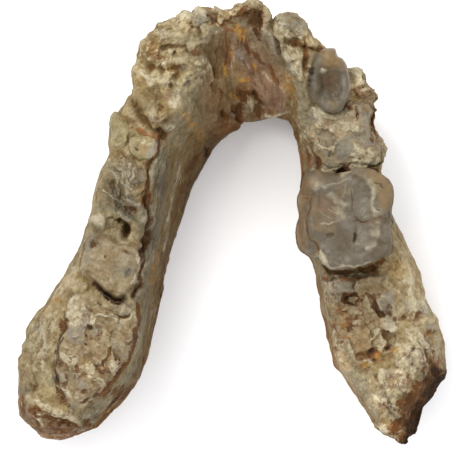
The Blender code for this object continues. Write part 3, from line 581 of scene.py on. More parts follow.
def bent(points):
    """The plan coordinates bent a little by soft noise, and how far each mark's width wavers there.

    Relief and stains use the same bend, so a groove and the earth in it stay together.
    """
    flat = points * [1, 1, 0]
    x = points[:, 0] + BEND * layered(flat, BEND_SIZE, seed=40)
    y = points[:, 1] + BEND * layered(flat, BEND_SIZE, seed=41)
    return x, y, 1 + WAVER * layered(flat, WAVER_SIZE, seed=42)


def rubble(points):
    """Broken stone: ridges of two sizes and small tilted blocks, as a height and a shade for each block."""
    height = 0.5 * ridged(points, size=1.9, seed=7, middle=0.55)
    height += 0.34 * ridged(points, size=0.95, seed=8, middle=0.5)
    warped = points + 0.3 * np.stack([noise(points, size=0.9, seed=9 + k) for k in range(3)], axis=1)
    _, large, slope = cells(warped, size=1.3, seed=5)
    height += (large - 0.5) * 0.25 + slope * 0.35
    crack, small, slope = cells(warped, size=0.6, seed=25)
    height += (small - 0.5) * 0.2 + slope * 0.22 - 0.05 * np.exp(-crack / 0.12)
    return height, large * 0.6 + small * 0.4


def fibrous(points):
    """Wisps of root and bone behind the left premolar: ridged noise, long one way and narrow across."""
    x, y, _ = bent(points)
    zone = np.clip(strokes(x, y, FIBROUS_ZONE, np.maximum), 0, 1)
    wisp_x, wisp_y = WISP_DIRECTION
    along, across = wisp_x * x + wisp_y * y, wisp_x * y - wisp_y * x
    winding = across + 0.5 * np.sin(along * 0.9)
    place = np.stack([along / WISP_LENGTH, winding / WISP_WIDTH, 0 * x], axis=1)
    broad = ridged(place, size=1.0, seed=90, middle=0.45)
    narrow = ridged(place * 2.1, size=1.0, seed=91, middle=0.4)
    return zone * (0.5 * broad + 0.3 * narrow)


rubble_height, rubble_shade = rubble(bone[::40].reshape(-1, 3))
print("rubble: from", rubble_height.min().round(2), "to", rubble_height.max().round(2), "mm")

# %% [markdown]
# ## Sockets
# The bone is sunk straight down under every tooth. The height of the bone before that is kept in a table
# over the plan, because the stumps follow it.

# %% Relief and sockets
SOCKET_DEPTH = 2.2
SOCKET_INSET = 0.45
SOCKET_SLOPE = 0.7
LOOKUP_MARGIN = 3
LOOKUP_ROUNDS = 8


def plan_lookup(points, size=0.3):
    """A function that gives the height of a surface over any place in plan.

    Heights are averaged over small squares and their neighbours. Empty squares, past the edge, take the
    heights next to them. The table is read with a straight blend.
    """
    low = points[:, :2].min(axis=0) - LOOKUP_MARGIN * size
    shape = ((points[:, :2].max(axis=0) - low) / size).astype(int) + LOOKUP_MARGIN + 1
    cell = ((points[:, :2] - low) / size).astype(int)
    total, count = np.zeros(shape), np.zeros(shape)
    np.add.at(total, (cell[:, 0], cell[:, 1]), points[:, 2])
    np.add.at(count, (cell[:, 0], cell[:, 1]), 1)
    for table in (total, count):
        table += np.roll(table, 1, 0) + np.roll(table, -1, 0)
        table += np.roll(table, 1, 1) + np.roll(table, -1, 1)
    for _ in range(LOOKUP_ROUNDS):
        empty = count == 0
        for table in (total, count):
            near = sum(np.roll(table, step, axis) for step in (-1, 1) for axis in (0, 1))
            table[empty] = near[empty]
    mean = total / np.maximum(count, 1)

    def read(x, y):
        at = np.stack([x, y], axis=-1) / size - low / size - 0.5
        i, j = np.clip(at.astype(int), 0, shape - 2).T
        f, g = (at - np.stack([i, j], axis=-1)).T
        near = mean[i, j] * (1 - f) + mean[i + 1, j] * f
        far = mean[i, j + 1] * (1 - f) + mean[i + 1, j + 1] * f
        return near * (1 - g) + far * g

    return read


def sculpted_bone(grid):
    """The bone's grid with all its relief, sunk under the teeth and flat where it rests.

    Also gives the height over the plan before the sockets, and for each place the relief, how much it looks
    upwards, and its block's shade.
    """
    shape = grid.shape[:2]
    points = grid.reshape(-1, 3)
    normal = outward_normals(grid).reshape(-1, 3)
    up = ease(normal[:, 2], 0.0, 0.45)
    x, y, waver = bent(points)
    rough = np.clip(strokes(x, y, ROUGH_ZONES, np.maximum), 0, 1) * ease(points[:, 2], 4, 12)
    height = strokes(x, y, BONE_RELIEF, waver=waver) * up
    broken, block = rubble(points)
    height += rough * broken + fibrous(points) * up
    swell = 0.22 * layered(points, size=3.2, seed=60)
    height += swell + (0.07 + 0.06 * rough) * layered(points, size=0.9, seed=70)
    pits = ease(noise(points, size=0.8, seed=80), 0.4, 0.75)
    height -= (0.1 + 0.1 * rough) * pits
    moved = points + normal * height[:, None]
    level = plan_lookup(moved[up > 0.3])
    for name in TEETH:
        away = outline_distance(points[:, 0], points[:, 1], smooth_outline(name, 72))
        moved[:, 2] -= SOCKET_DEPTH * ease(-away, SOCKET_INSET, SOCKET_INSET + SOCKET_SLOPE) * up
    moved[:, 2] = np.maximum(moved[:, 2], 0)
    block = (block - 0.5) * (0.3 + 0.7 * rough)
    return moved.reshape(grid.shape), level, [value.reshape(shape) for value in (height, up, block)]


bone_sculpted, bone_level, (bone_height, bone_up, bone_block) = sculpted_bone(bone)
print("relief from", bone_height.min().round(2), "to", bone_height.max().round(2), "mm")

# %% [markdown]
# ## From grids to meshes
# A grid becomes faces row by row, with a point that closes each end. Faces have to point out, and the sign
# of the enclosed volume tells whether they do. Every place also gets numbers that the finishes read: how
# hollow it is, whether it is a wall, and where each stain lies.


# %% Making a mesh
def hollow_of(height, reach):
    """How far each place lies below its surroundings: the mean over a square of the grid, less its height."""
    mean = height
    for axis in (0, 1):
        mode = "wrap" if axis else "edge"
        pad = [(reach, reach) if k == axis else (0, 0) for k in (0, 1)]
        total = np.cumsum(np.pad(mean, pad, mode=mode), axis=axis)
        total = np.insert(total, 0, 0, axis=axis)
        span = 2 * reach + 1
        high = np.take(total, np.arange(span, total.shape[axis]), axis=axis)
        low = np.take(total, np.arange(0, total.shape[axis] - span), axis=axis)
        mean = (high - low) / span
    return mean - height


def hollows(height):
    """Hollows of two sizes added up: fine ones, and broader ones that count less."""
    return 0.7 * hollow_of(height, reach=3) + 0.4 * hollow_of(height, reach=10)


def add_object(name, data):
    """A new object that holds a mesh, a lamp or a camera, put in the scene."""
    obj = bpy.data.objects.new(name, data)
    bpy.context.scene.collection.objects.link(obj)
    return obj


def grid_mesh(name, grid, values):
    """A closed mesh from rings of points, with a pole at each end, and named values for every vertex."""
    rows, cols = grid.shape[:2]
    poles = np.array([grid[0].mean(axis=0), grid[-1].mean(axis=0)])
    vertices = np.concatenate([grid.reshape(-1, 3), poles]) * MM
    index = np.arange(rows * cols).reshape(rows, cols)
    after = np.roll(index, -1, axis=1)
    quads = np.stack([index[:-1], after[:-1], after[1:], index[1:]], axis=-1).reshape(-1, 4)
    first = np.stack([index[0], np.full(cols, rows * cols), after[0]], axis=-1)
    last = np.stack([index[-1], after[-1], np.full(cols, rows * cols + 1)], axis=-1)
    triangles = np.concatenate([first, last, quads[:, [0, 1, 2]], quads[:, [0, 2, 3]]])
    a, b, c = (vertices[triangles[:, k]] for k in range(3))
    if np.sum(a * np.cross(b, c)) < 0:
        quads, first, last = quads[:, ::-1], first[:, ::-1], last[:, ::-1]
    mesh = bpy.data.meshes.new(name)
    mesh.from_pydata(vertices.tolist(), [], quads.tolist() + first.tolist() + last.tolist())
    mesh.shade_smooth()
    for word, value in values.items():
        held = mesh.attributes.new(word, "FLOAT", "POINT")
        held.data.foreach_set("value", np.append(value.ravel(), [value[0].mean(), value[-1].mean()]))
    if mesh.validate():
        print("mended:", name)
    return add_object(name, mesh)


valley = np.abs(np.arange(-15.0, 16.0))[:, None] * np.ones(31)
print("at the bottom of a valley, hollows are", hollows(valley)[15, 15].round(2))

# %% [markdown]
# ## Where the stains lie
# Brown earth sits in joints and hollows, ochre round the chin, grey where the break is fresh, pale cream on
# worn edges. A few dark marks are painted shadow in gaps and a pit, and a few pale ones are painted
# highlights on the right second molar. They could be painted on a picture; marks need none and can be moved.
# The finishes fray their edges later, so here they only need a place, a width and a strength.

# %% Brown earth, what is darker, and painted shadow in gaps and a pit
STAINS_AND_PAINTED_LIGHT = {}
STAINS_AND_PAINTED_LIGHT["brown"] = [
    (1, 0.3, -10.3, 12.4, -10.3, 10.4, -11.9, 8.5, -12, 6.5, -12.2, 4.2, -12.2, 2.6, -11.6, 1.6),
    (0.8, 0.42, -11.6, 1.6, -12, -1.3, -12.6, -3.2, -12.7, -6.5, -13.2, -8.6, -14, -10.3),
    (1, 0.33, -13.4, -11.5, -13.2, -13, -13.3, -15, -14, -17, -15, -20, -16.4, -21.6, -17.6, -22.9,
     -18.6, -24.1), (0.9, 0.8, -12.3, 3.4, -12.3, 2.4), (1, 0.7, -12.5, -2.6, -12.8, -3.6),
    # Painted shadow: both marks on the next line darken the gap under the left second molar's lower edge and
    # the hollow right of the left premolar.
    (1, 0.4, -19.4, -8.9, -18.2, -10, -17, -11.1, -16.1, -11.2), (1, 0.45, -10.3, 13.2, -9.3, 12.3),
    (0.7, 0.8, -24.2, -14.3, -24.3, -15), (0.7, 0.5, -11.5, 22.3), (0.8, 0.6, -8, 22.3),
    (0.7, 0.5, -7.9, 20.8), (0.6, 1, -11.3, 24.3), (0.9, 0.5, -3, 29.9), (0.8, 0.4, -2.7, 22.2, -2.4, 19.7),
    (0.8, 0.5, -5, 24.5), (0.7, 0.6, -3.7, 10.5, -3.6, 9.8), (0.7, 0.5, -6, 6.8, -5.8, 5.5),
    (0.9, 0.4, -6.8, 1.9, -6.8, 1), (0.5, 0.5, 0.6, 13.4, -3.8, 8.2, -6.6, 2.4, -8.4, -3),
    (0.6, 0.4, -8.4, -3, -9.7, -9.5, -11.2, -16, -12.8, -21, -14.6, -24.2), (0.9, 0.7, -20.5, -28.6),
    (0.7, 0.6, -28.2, -23.3), (0.6, 1.1, 2.2, 29.2, 3.4, 29), (0.7, 0.5, -0.5, 28.4, 0.3, 28),
    (0.5, 0.5, 0.8, 25.8, 1.8, 25.1, 3.4, 24.2, 5.2, 22.3, 5.8, 21.2, 6.6, 19.8),
    (0.9, 0.45, 1.2, 19.2, 1.4, 17.6), (1, 0.4, 2.4, 18.6, 3.2, 18.3, 3.9, 17.5),
    (1, 0.7, 0.1, 16.7, 0.9, 16, 1.4, 15.4), (0.7, 0.4, 4, 16.7, 3.9, 15.4),
    (0.8, 0.35, -1.3, 15.6, -0.6, 15.1), (0.8, 0.25, -1.5, 19.2, -1.7, 17.6), (0.4, 0.5, 7.8, 18.4, 8.1, 17),
    (0.5, 0.3, 3.1, 20, 4.8, 19.8), (0.8, 0.6, 10.5, 25.2, 12.8, 25.1), (0.9, 0.7, 10.9, 24.6, 10.5, 22.6),
    (0.6, 0.4, 8.3, 25.7, 10.1, 25.4), (0.9, 0.4, 11.3, 11.2, 12.3, 9.3, 12.6, 8.3),
    (1, 0.5, 19.6, 8.1, 21.1, 7.7), (1, 0.55, 15.6, 7.5, 16.6, 8), (0.6, 0.5, 10.5, 11.3, 10.8, 9.6, 11.3, 8),
    (0.8, 0.5, 20.4, 18), (0.5, 0.6, 18.2, 18.6, 19.8, 18.7),
    (0.8, 0.5, 13.2, -6.4, 13.9, -7, 16, -7.1, 18, -6.7, 20, -6.2, 21.4, -5.4), (0.7, 0.6, 28.4, -15.2),
    (0.7, 0.5, 28, -18.6, 28.5, -19.5), (0.6, 0.5, 25.2, -13.1, 26.5, -13),
    (0.4, 0.6, 13.8, -9, 14.2, -13, 14.7, -18), (0.3, 3.4, 27.4, -18.6, 24.2, -22), (0.3, 2, 22.4, -26),
    (0.32, 3, 0.6, 26, -2.6, 20), (0.28, 1.6, -1.4, 13.4, -5.4, 7, -8, 0), (0.25, 1.4, -9.4, -6, -11.4, -16),
    (0.25, 3, -9, 24), (0.3, 1.6, -10.4, 15.6), (0.28, 2, -22, -28, -27.6, -27.4), (0.3, 2.4, 18, -14),
    (0.7, 0.14, 9.9, 3.9, 11.2, 3.7, 11, 2.1, 10.5, 0.8, 11, -0.4, 11.1, -1.7, 12.2, -3.3, 12.3, -4.4),
    (0.8, 0.1, 18, 0.35, 19.2, 0.25, 20, 0.35), (0.6, 0.09, 17, 5.2, 17.25, 3.7, 17.4, 2.1, 18, 0.4),
    (0.6, 0.09, 20, 0.35, 21.4, 0.8, 22.4, 0.8), (0.5, 0.1, 13.9, 22.2, 15, 22, 15.8, 22.4),
    (0.8, 0.3, 16.3, 16.8, 17.2, 16.3), (0.8, 0.25, 17.8, 16, 17.8, 14.7), (0.5, 0.3, 19.8, 13.2, 20, 11.8),
    (0.5, 0.12, 13.2, 14.9, 14, 14.6),
    (1, 0.35, 17.9, -10.1, 16.4, -10.5, 15.8, -11.2, 16.7, -11.8, 17.8, -11.5, 18.2, -10.8),
    (0.9, 0.4, 19.3, -10.3, 20.3, -11, 20.6, -12.3, 21.6, -13.3), (0.8, 0.45, 19.5, -18.3, 20.5, -18.5),
    (0.6, 0.2, 17.3, -18.7, 18.3, -19.4, 18.8, -20), (0.5, 0.3, 17.3, -8, 17.5, -9.4),
    (0.5, 0.2, 16.9, -13.8, 16.9, -15.6, 17, -17.4), (0.7, 0.15, -16.9, -13.1, -15.8, -13.5, -14.8, -13.2),
    (0.7, 0.18, -20.8, -14.5, -20.1, -15), (0.7, 0.2, -17.3, -17.6, -17.6, -18.6, -18, -19.4, -18.6, -20),
    (0.5, 0.15, -22.6, -21.6, -22.2, -22.3), (0.5, 0.15, -22, -20.9, -21, -21.7, -19.3, -21.9),
    (0.4, 0.15, -23.2, -18.4, -23.2, -19.8),
    (1, 0.28, -13.6, -14.8, -13.8, -15.8, -14.1, -17, -14.2, -18, -14.5, -19.3, -15.2, -20.6, -16.6,
     -22.2, -17.2, -23), (0.9, 0.35, -21.8, -25.7, -20, -24.9, -18.4, -24.5, -17.6, -23.7),
    (0.9, 0.3, -24.7, -23.6, -24.1, -24.8, -23.6, -25.8),
    (0.5, 1.3, -27.5, -28.6, -23.5, -29.8, -20.5, -29.4),
    (0.8, 0.7, -18.6, -27.4, -16.8, -25.6, -15.2, -23.6), (0.6, 0.7, -30, -25.4, -29.6, -27.2),
    (0.5, 0.6, -21.4, -26.6, -19.8, -26), (0.6, 0.5, -13.9, -22, -13, -20.4),
    (0.7, 0.4, -7.4, -1, -8.3, -3.4), (0.5, 0.25, -8.1, 6.4, -8.4, 4.2),
    (1, 0.5, -1.4, 28.5, 0.2, 29.6, 1.6, 30.2, 3, 30.3, 4.2, 29.8, 4.5, 28.4, 4.2, 26.2),
    (1, 2.3, 29.6, -23, 27.6, -24.9, 26, -27.4, 25, -30.2),
    (0.8, 0.8, 24.6, -24.6, 23.9, -26.6, 24.1, -27.6, 23.4, -28.9), (0.7, 0.3, -20.1, -3, -20, -3.5),
    (0.45, 0.8, 1.4, 23, 3, 21.6), (0.4, 0.6, 4.6, 18.6, 6, 17),
    (0.7, 0.9, -28.2, -26.6, -25.4, -28, -22.4, -28.8), (0.8, 0.35, -13, -21.4, -14.2, -23.4, -15.6, -25.2),
    (0.6, 0.3, 20.5, 15.4, 20.1, 14, 20.7, 12.6), (0.4, 1.2, 14.1, 20.6, 14.2, 18.8),
    (0.8, 0.6, 3.4, 28.6, 3.6, 27), (0.95, 1.3, 28.4, -21.6, 26.4, -23.6, 25, -26.4, 24.7, -29.2),
    (0.5, 0.1, 17.8, -0.4, 17.8, -1.6), (0.6, 0.5, 13.6, -12.6, 13.9, -14.8),
    (0.7, 0.5, 12.4, -8.3, 12.7, -10.4), (0.6, 0.4, 13.4, -13.4, 13.9, -16.4),
    (0.6, 0.35, 12.8, -7.7, 15, -8.1, 18.2, -7.9), (0.75, 0.45, -16.2, 4.2, -15.9, 3.3),
    (0.7, 0.4, -15, 2.3, -13.9, 1.6),
    (0.9, 0.26, -23.9, -15, -24.9, -17.6, -25.3, -20.4, -25.1, -22.9, -24.1, -24.9, -23.2, -26.2),
]
STAINS_AND_PAINTED_LIGHT["umber"] = [
    (1, 0.5, -12.5, -2.6, -12.8, -3.8), (0.9, 0.4, -12.3, 3.4, -12.3, 2.4),
    # Painted shadow: both marks on the next line darken the gap under the left second molar's lower edge and
    # the hollow right of the left premolar.
    (0.9, 0.35, -18.4, -9.8, -17.4, -10.8, -16.3, -11.2), (0.7, 0.4, -10.2, 13, -9.4, 12.4),
    (0.5, 0.25, -2.6, 22, -2.4, 20), (0.7, 0.25, 2.8, 18.6, 3.6, 17.9), (0.8, 0.4, 0, 16.2, 0.6, 15.4),
    (0.6, 0.35, 4.1, 29.4, 4.1, 28.4), (0.5, 0.3, 2.2, 29.6, 2, 28.7), (0.4, 0.35, 15.2, 7.4, 16.5, 8),
    (0.8, 0.35, 19.8, 8, 21, 7.7), (0.7, 0.3, -6.8, 1.9, -6.8, 1.1), (0.6, 0.4, -3.7, 10.4, -3.9, 9.6),
    (0.6, 0.5, -20.5, -28.6), (0.5, 0.15, 17.7, -1.8, 17.7, -2.4), (0.7, 0.3, 16.2, -11.6, 17.4, -11.6),
    (0.7, 0.3, 17.6, -10.1, 18, -10.5), (0.7, 0.3, 19.7, -18.3, 20.4, -18.3),
    (0.5, 0.3, 20.6, -12, 21.4, -13.2), (0.6, 0.35, -17.6, -26.6, -16, -24.8),
    # Painted shadow: the first mark on the next line darkens the deep pit between the left first and second
    # molars.
    (0.5, 0.35, -15.6, 0, -15, -0.8), (0.72, 1.9, 30, -22.6, 28.2, -25, 26.8, -27.8, 25.6, -30.8),
]
STAINS_AND_PAINTED_LIGHT["black"] = [
    (0.6, 0.2, -18, -4.6), (0.5, 0.3, -23.9, -12.6, -23.8, -14.6, -24.6, -16.8),
    (0.5, 0.2, 29.8, -20.9, 28.4, -21, 27, -22.3), (0.7, 0.09, 20.1, 5.9, 20.7, 5.5, 21, 5.6, 21.5, 5),
    (0.9, 0.12, 20.6, 1.8, 21.1, 1.6), (0.8, 0.1, 22.5, 1.9, 22.6, 0.8, 22.8, 0), (0.6, 0.25, 9.9, 4.3),
    (0.6, 0.2, -15.3, -17), (0.5, 0.1, -23, -10.5, -23.5, -11.4),
    (0.9, 0.16, -25.2, -20, -25.4, -21.5, -25, -22.8), (0.9, 0.16, -23.8, -16.3, -24.7, -17.6, -24.9, -18.6),
    (1, 0.3, 11.5, 22.3, 11.4, 22), (1, 0.35, 11.4, 21.3), (1, 0.22, 11.1, 20.4), (0.9, 0.2, 11, 19.5),
]
print({word: len(STAINS_AND_PAINTED_LIGHT[word]) for word in ("brown", "umber", "black")})

# %% Warm stains
STAINS_AND_PAINTED_LIGHT["ochre"] = [
    (1, 0.7, 0.9, 27.6, 1.6, 27.4, 1, 26.9), (0.6, 0.3, 0.1, 25.2, 0, 22.8), (1, 0.45, 1.2, 20.7, 2.4, 20.6),
    (0.5, 0.35, 3.3, 22.4, 3.8, 22), (0.5, 0.6, 0.2, 18.2, 0.4, 17.6), (0.5, 0.9, 7.8, 21, 8.4, 18),
    (0.35, 0.5, -0.9, 22.4, -1, 20.6), (0.24, 1, -8.4, 12, -10.6, 6.4, -11, 2),
    (0.24, 0.8, -10.6, -3, -11.4, -8), (0.45, 0.7, -6.6, 15.6, -4.6, 12.2), (0.6, 0.6, 8.4, 20.8, 9.6, 15.6),
    (0.22, 0.6, 22, -19, 19.5, -21), (0.21, 1.4, -26, -12.4, -23.6, -8.4),
    (0.5, 0.25, 11.1, -1.7, 12.2, -3.3, 12.4, -4.4), (0.34, 0.35, 16.5, -14.2, 16.6, -16.4),
    (0.4, 0.5, 20.8, -18.9, 23.6, -17.7), (0.24, 0.2, -20.3, -12.3, -18.6, -12.9, -17, -12.8),
    (0.5, 0.4, 20.3, 14.6, 20.3, 13.4), (0.3, 0.8, 14.6, 23.3),
]
STAINS_AND_PAINTED_LIGHT["tan"] = [
    (0.6, 1.6, -17.6, -5.6), (0.4, 1.8, 25.6, -9), (0.5, 1, 15.4, -21.4, 20.4, -28.4),
    (0.4, 1.21, 15.2, 5.6, 15.6, 4), (0.6, 1.87, 12.8, 2.4, 14.4, 1.4), (0.5, 1.21, 12.6, -0.6, 14.2, -1),
    (0.68, 1.1, 10.2, 5.6, 10, 3.4), (0.59, 0.99, 10, 0.4, 10.3, -3),
    (1, 1.32, 20.6, 6.6, 21.8, 5.2, 21.8, 3), (0.35, 0.99, 16.4, 6.9, 18.6, 7.2),
    (1, 1.43, 14.2, 23.8, 14.6, 23), (0.59, 0.88, 14, 17), (0.5, 0.4, -1.4, 30.4, 0.6, 30.6, 2.6, 31.2),
    (0.4, 0.7, -9.9, 13.8, -8.8, 14.8), (0.5, 1.5, -12.6, 11), (0.8, 0.4, 17.3, -10.9, 17.7, -10.9),
    (0.65, 0.9, 11, 6, 13.4, 6.7), (0.6, 0.7, 2.6, 17, 3, 16.2), (0.4, 0.6, 18.5, -3.6),
]
STAINS_AND_PAINTED_LIGHT["rust"] = [
    (1, 0.2, -2.4, 30.1, -2.1, 28.9, -1.2, 28.2, -0.6, 27.5, 0.1, 27.1), (0.9, 0.16, 0.1, 24.2, -0.1, 22.6),
    (1, 0.55, -13.3, 13.5, -12, 12.9, -10.8, 12.2), (0.8, 0.3, -15.2, -4.2, -14.7, -4.6),
    (0.6, 0.7, -29.8, -25), (0.7, 0.7, 29.3, -19.5),
    (0.5, 0.9, 24.6, -24.5, 23.8, -26.6, 24.3, -27.6, 23.4, -28.9), (0.5, 0.6, 28.2, -15.6),
    (0.5, 0.5, 17.8, -6.5, 20.6, -5.8), (0.6, 0.5, 10.5, 11.3, 10.8, 9.6, 11.3, 8),
    (0.5, 1.2, 28.6, -22, 27, -25.4), (0.4, 0.4, 13.6, -7.7, 17, -7.9, 20.4, -7.2),
    (0.21, 1, 15.4, -12.4, 15.8, -15.6, 16.6, -18.6), (0.4, 0.8, 18.6, -19.2, 20.8, -18.2),
]
STAINS_AND_PAINTED_LIGHT["pink"] = [
    (0.6, 0.6, -29.5, -21.5), (0.5, 0.5, 8.2, 27.3, 8.9, 28.2), (0.6, 0.7, 18.4, 18.8, 19.6, 18.2),
    (0.6, 0.7, 20.6, 12, 21.3, 10.8), (0.5, 0.7, 28, -18.6), (0.4, 0.9, -10, 18.4, -8.2, 19.2),
    (0.59, 1.1, 9.8, 5.4, 9.7, 3.6), (0.59, 1.1, 9.8, 0.6, 9.8, -2.4), (0.59, 1.32, 12.6, 2.6, 14.2, 2),
    (0.9, 2.2, 2, 24.4, 3.4, 22), (0.9, 2, 5, 19.6, 6.8, 16.8), (0.7, 1.6, 2, 29),
    (0.9, 1.3, -29.4, -26.8, -27.4, -28.8, -24, -30.1, -21.8, -30),
]
print({word: len(STAINS_AND_PAINTED_LIGHT[word]) for word in ("ochre", "tan", "rust", "pink")})

# %% Cool stains
STAINS_AND_PAINTED_LIGHT["grey"] = [
    (0.8, 0.4, -7.2, 22.1), (0.8, 0.5, -6.3, 19.7), (0.7, 0.7, -4.8, 29.4, -3.8, 29), (0.9, 0.5, -3, 30),
    (0.6, 0.7, -14.8, -6.8), (0.8, 0.6, -28, -15), (0.7, 0.4, -21, -29.5, -19.6, -28.6),
    (0.5, 0.7, -11.5, 15.3), (0.5, 0.4, -20.6, -5.2, -20.4, -2.8, -19.4, -0.8),
    (0.4, 0.8, -9.4, 6, -11, -1, -11.4, -6), (0.35, 0.7, -7, 11.8, -8.6, 6.2, -9.6, 0.4),
    (0.6, 1.1, 1.2, 24.4, 1.6, 22.8), (0.6, 0.7, 1, 29.4, 2.4, 29.8), (0.35, 1.4, 5.4, 18.2, 6.8, 16.6),
    (0.5, 0.9, 5.4, 27.6, 6.2, 25), (0.6, 1.4, 7.6, 29, 9.6, 28.2), (0.5, 1, 7.8, 24, 8, 21.6),
    (0.8, 0.8, 28.3, -14.6), (0.5, 2.6, 28, -18, 25, -21), (0.35, 2, 19.4, -22.4, 21.8, -26.4),
    (0.7, 0.3, 30, -20.8, 28.5, -20.9, 27, -22.2, 26.4, -23.2), (0.4, 1.4, 24.6, -12, 27.6, -12.4),
    (0.3, 1, 18.3, 4.9, 18.6, 3.6), (0.35, 1.6, 13.2, -3, 15.4, -4.4), (0.5, 1.2, 15.8, 1, 16.6, -1.2),
    (0.5, 0.8, 18.4, -0.8, 18.9, -1.8), (0.5, 0.5, 15.9, 21.2, 16.3, 19.6, 16, 17.8),
    (0.4, 0.7, 12.5, 23.8, 12.2, 23), (0.44, 0.8, 21.9, -0.6, 22.1, -1.4), (0.45, 0.8, -16.9, 4.4),
    (0.5, 0.6, -13.3, 7.6, -13, 6.4), (0.9, 0.55, -10.9, 11.5, -11, 10.4, -11.9, 9.6),
    (0.4, 2.4, 27.4, -18.4, 24.4, -21.6, 22, -24.6), (0.5, 1.5, 13.4, 12.4, 16.6, 10.6),
    (0.45, 1.3, 18.7, 15.6, 18.4, 12), (1, 0.22, 11.6, 16.4, 11.7, 15.4, 12, 14.3), (0.5, 0.8, 18.6, 2.6),
    (0.5, 1.8, 22.4, -21.6, 21.8, -25, 23.4, -29),
]
STAINS_AND_PAINTED_LIGHT["olive"] = [
    (0.7, 1.2, -11.4, 19.2, -12.6, 17.4), (0.7, 2, -2.6, 25.4, -2, 22), (0.7, 0.7, 8, 26, 10, 25.6),
    (0.5, 1, 0, 18, -0.8, 20.4), (0.5, 1.6, -1, 14.4, -4.4, 9.4, -7, 3.6),
    (0.55, 1.2, -7.8, 1.4, -9.4, -5, -10.4, -10), (0.45, 1, -10.6, -11, -11.8, -16.4, -13.4, -20.6),
    (0.3, 2.6, -28.4, -16, -28.6, -23.6), (0.25, 2, -22.6, -5, -26.2, -11), (0.4, 1.2, -5.8, 18.2, -5, 15.4),
    (1, 1.43, 14.2, 20.6, 14.4, 18.8), (0.85, 0.77, 12.8, 20.4, 12.9, 18.4), (0.85, 0.39, 13.9, -1.7),
    (0.75, 0.55, 21.3, -2.8), (0.59, 0.99, 15.4, -3.4), (0.75, 0.6, -13.6, 6, -13.4, 5),
    (0.75, 0.7, -17.2, 5.6), (0.75, 0.5, -15.2, 7.8), (0.4, 0.5, 12.9, 12.2, 14, 12),
    (0.4, 0.3, 15.5, -12.9, 14.2, -11.9), (0.8, 0.5, -17, 0.5, -15.6, 0.1, -14.9, -0.9),
    (0.5, 0.35, -14.4, 17.5, -13, 15.5, -11.7, 13.8), (0.5, 0.4, 19.2, -4.7, 20, -4.4),
    (0.6, 0.9, -17.8, 5.6, -17.3, 3.6),
]
print({word: len(STAINS_AND_PAINTED_LIGHT[word]) for word in ("grey", "olive")})
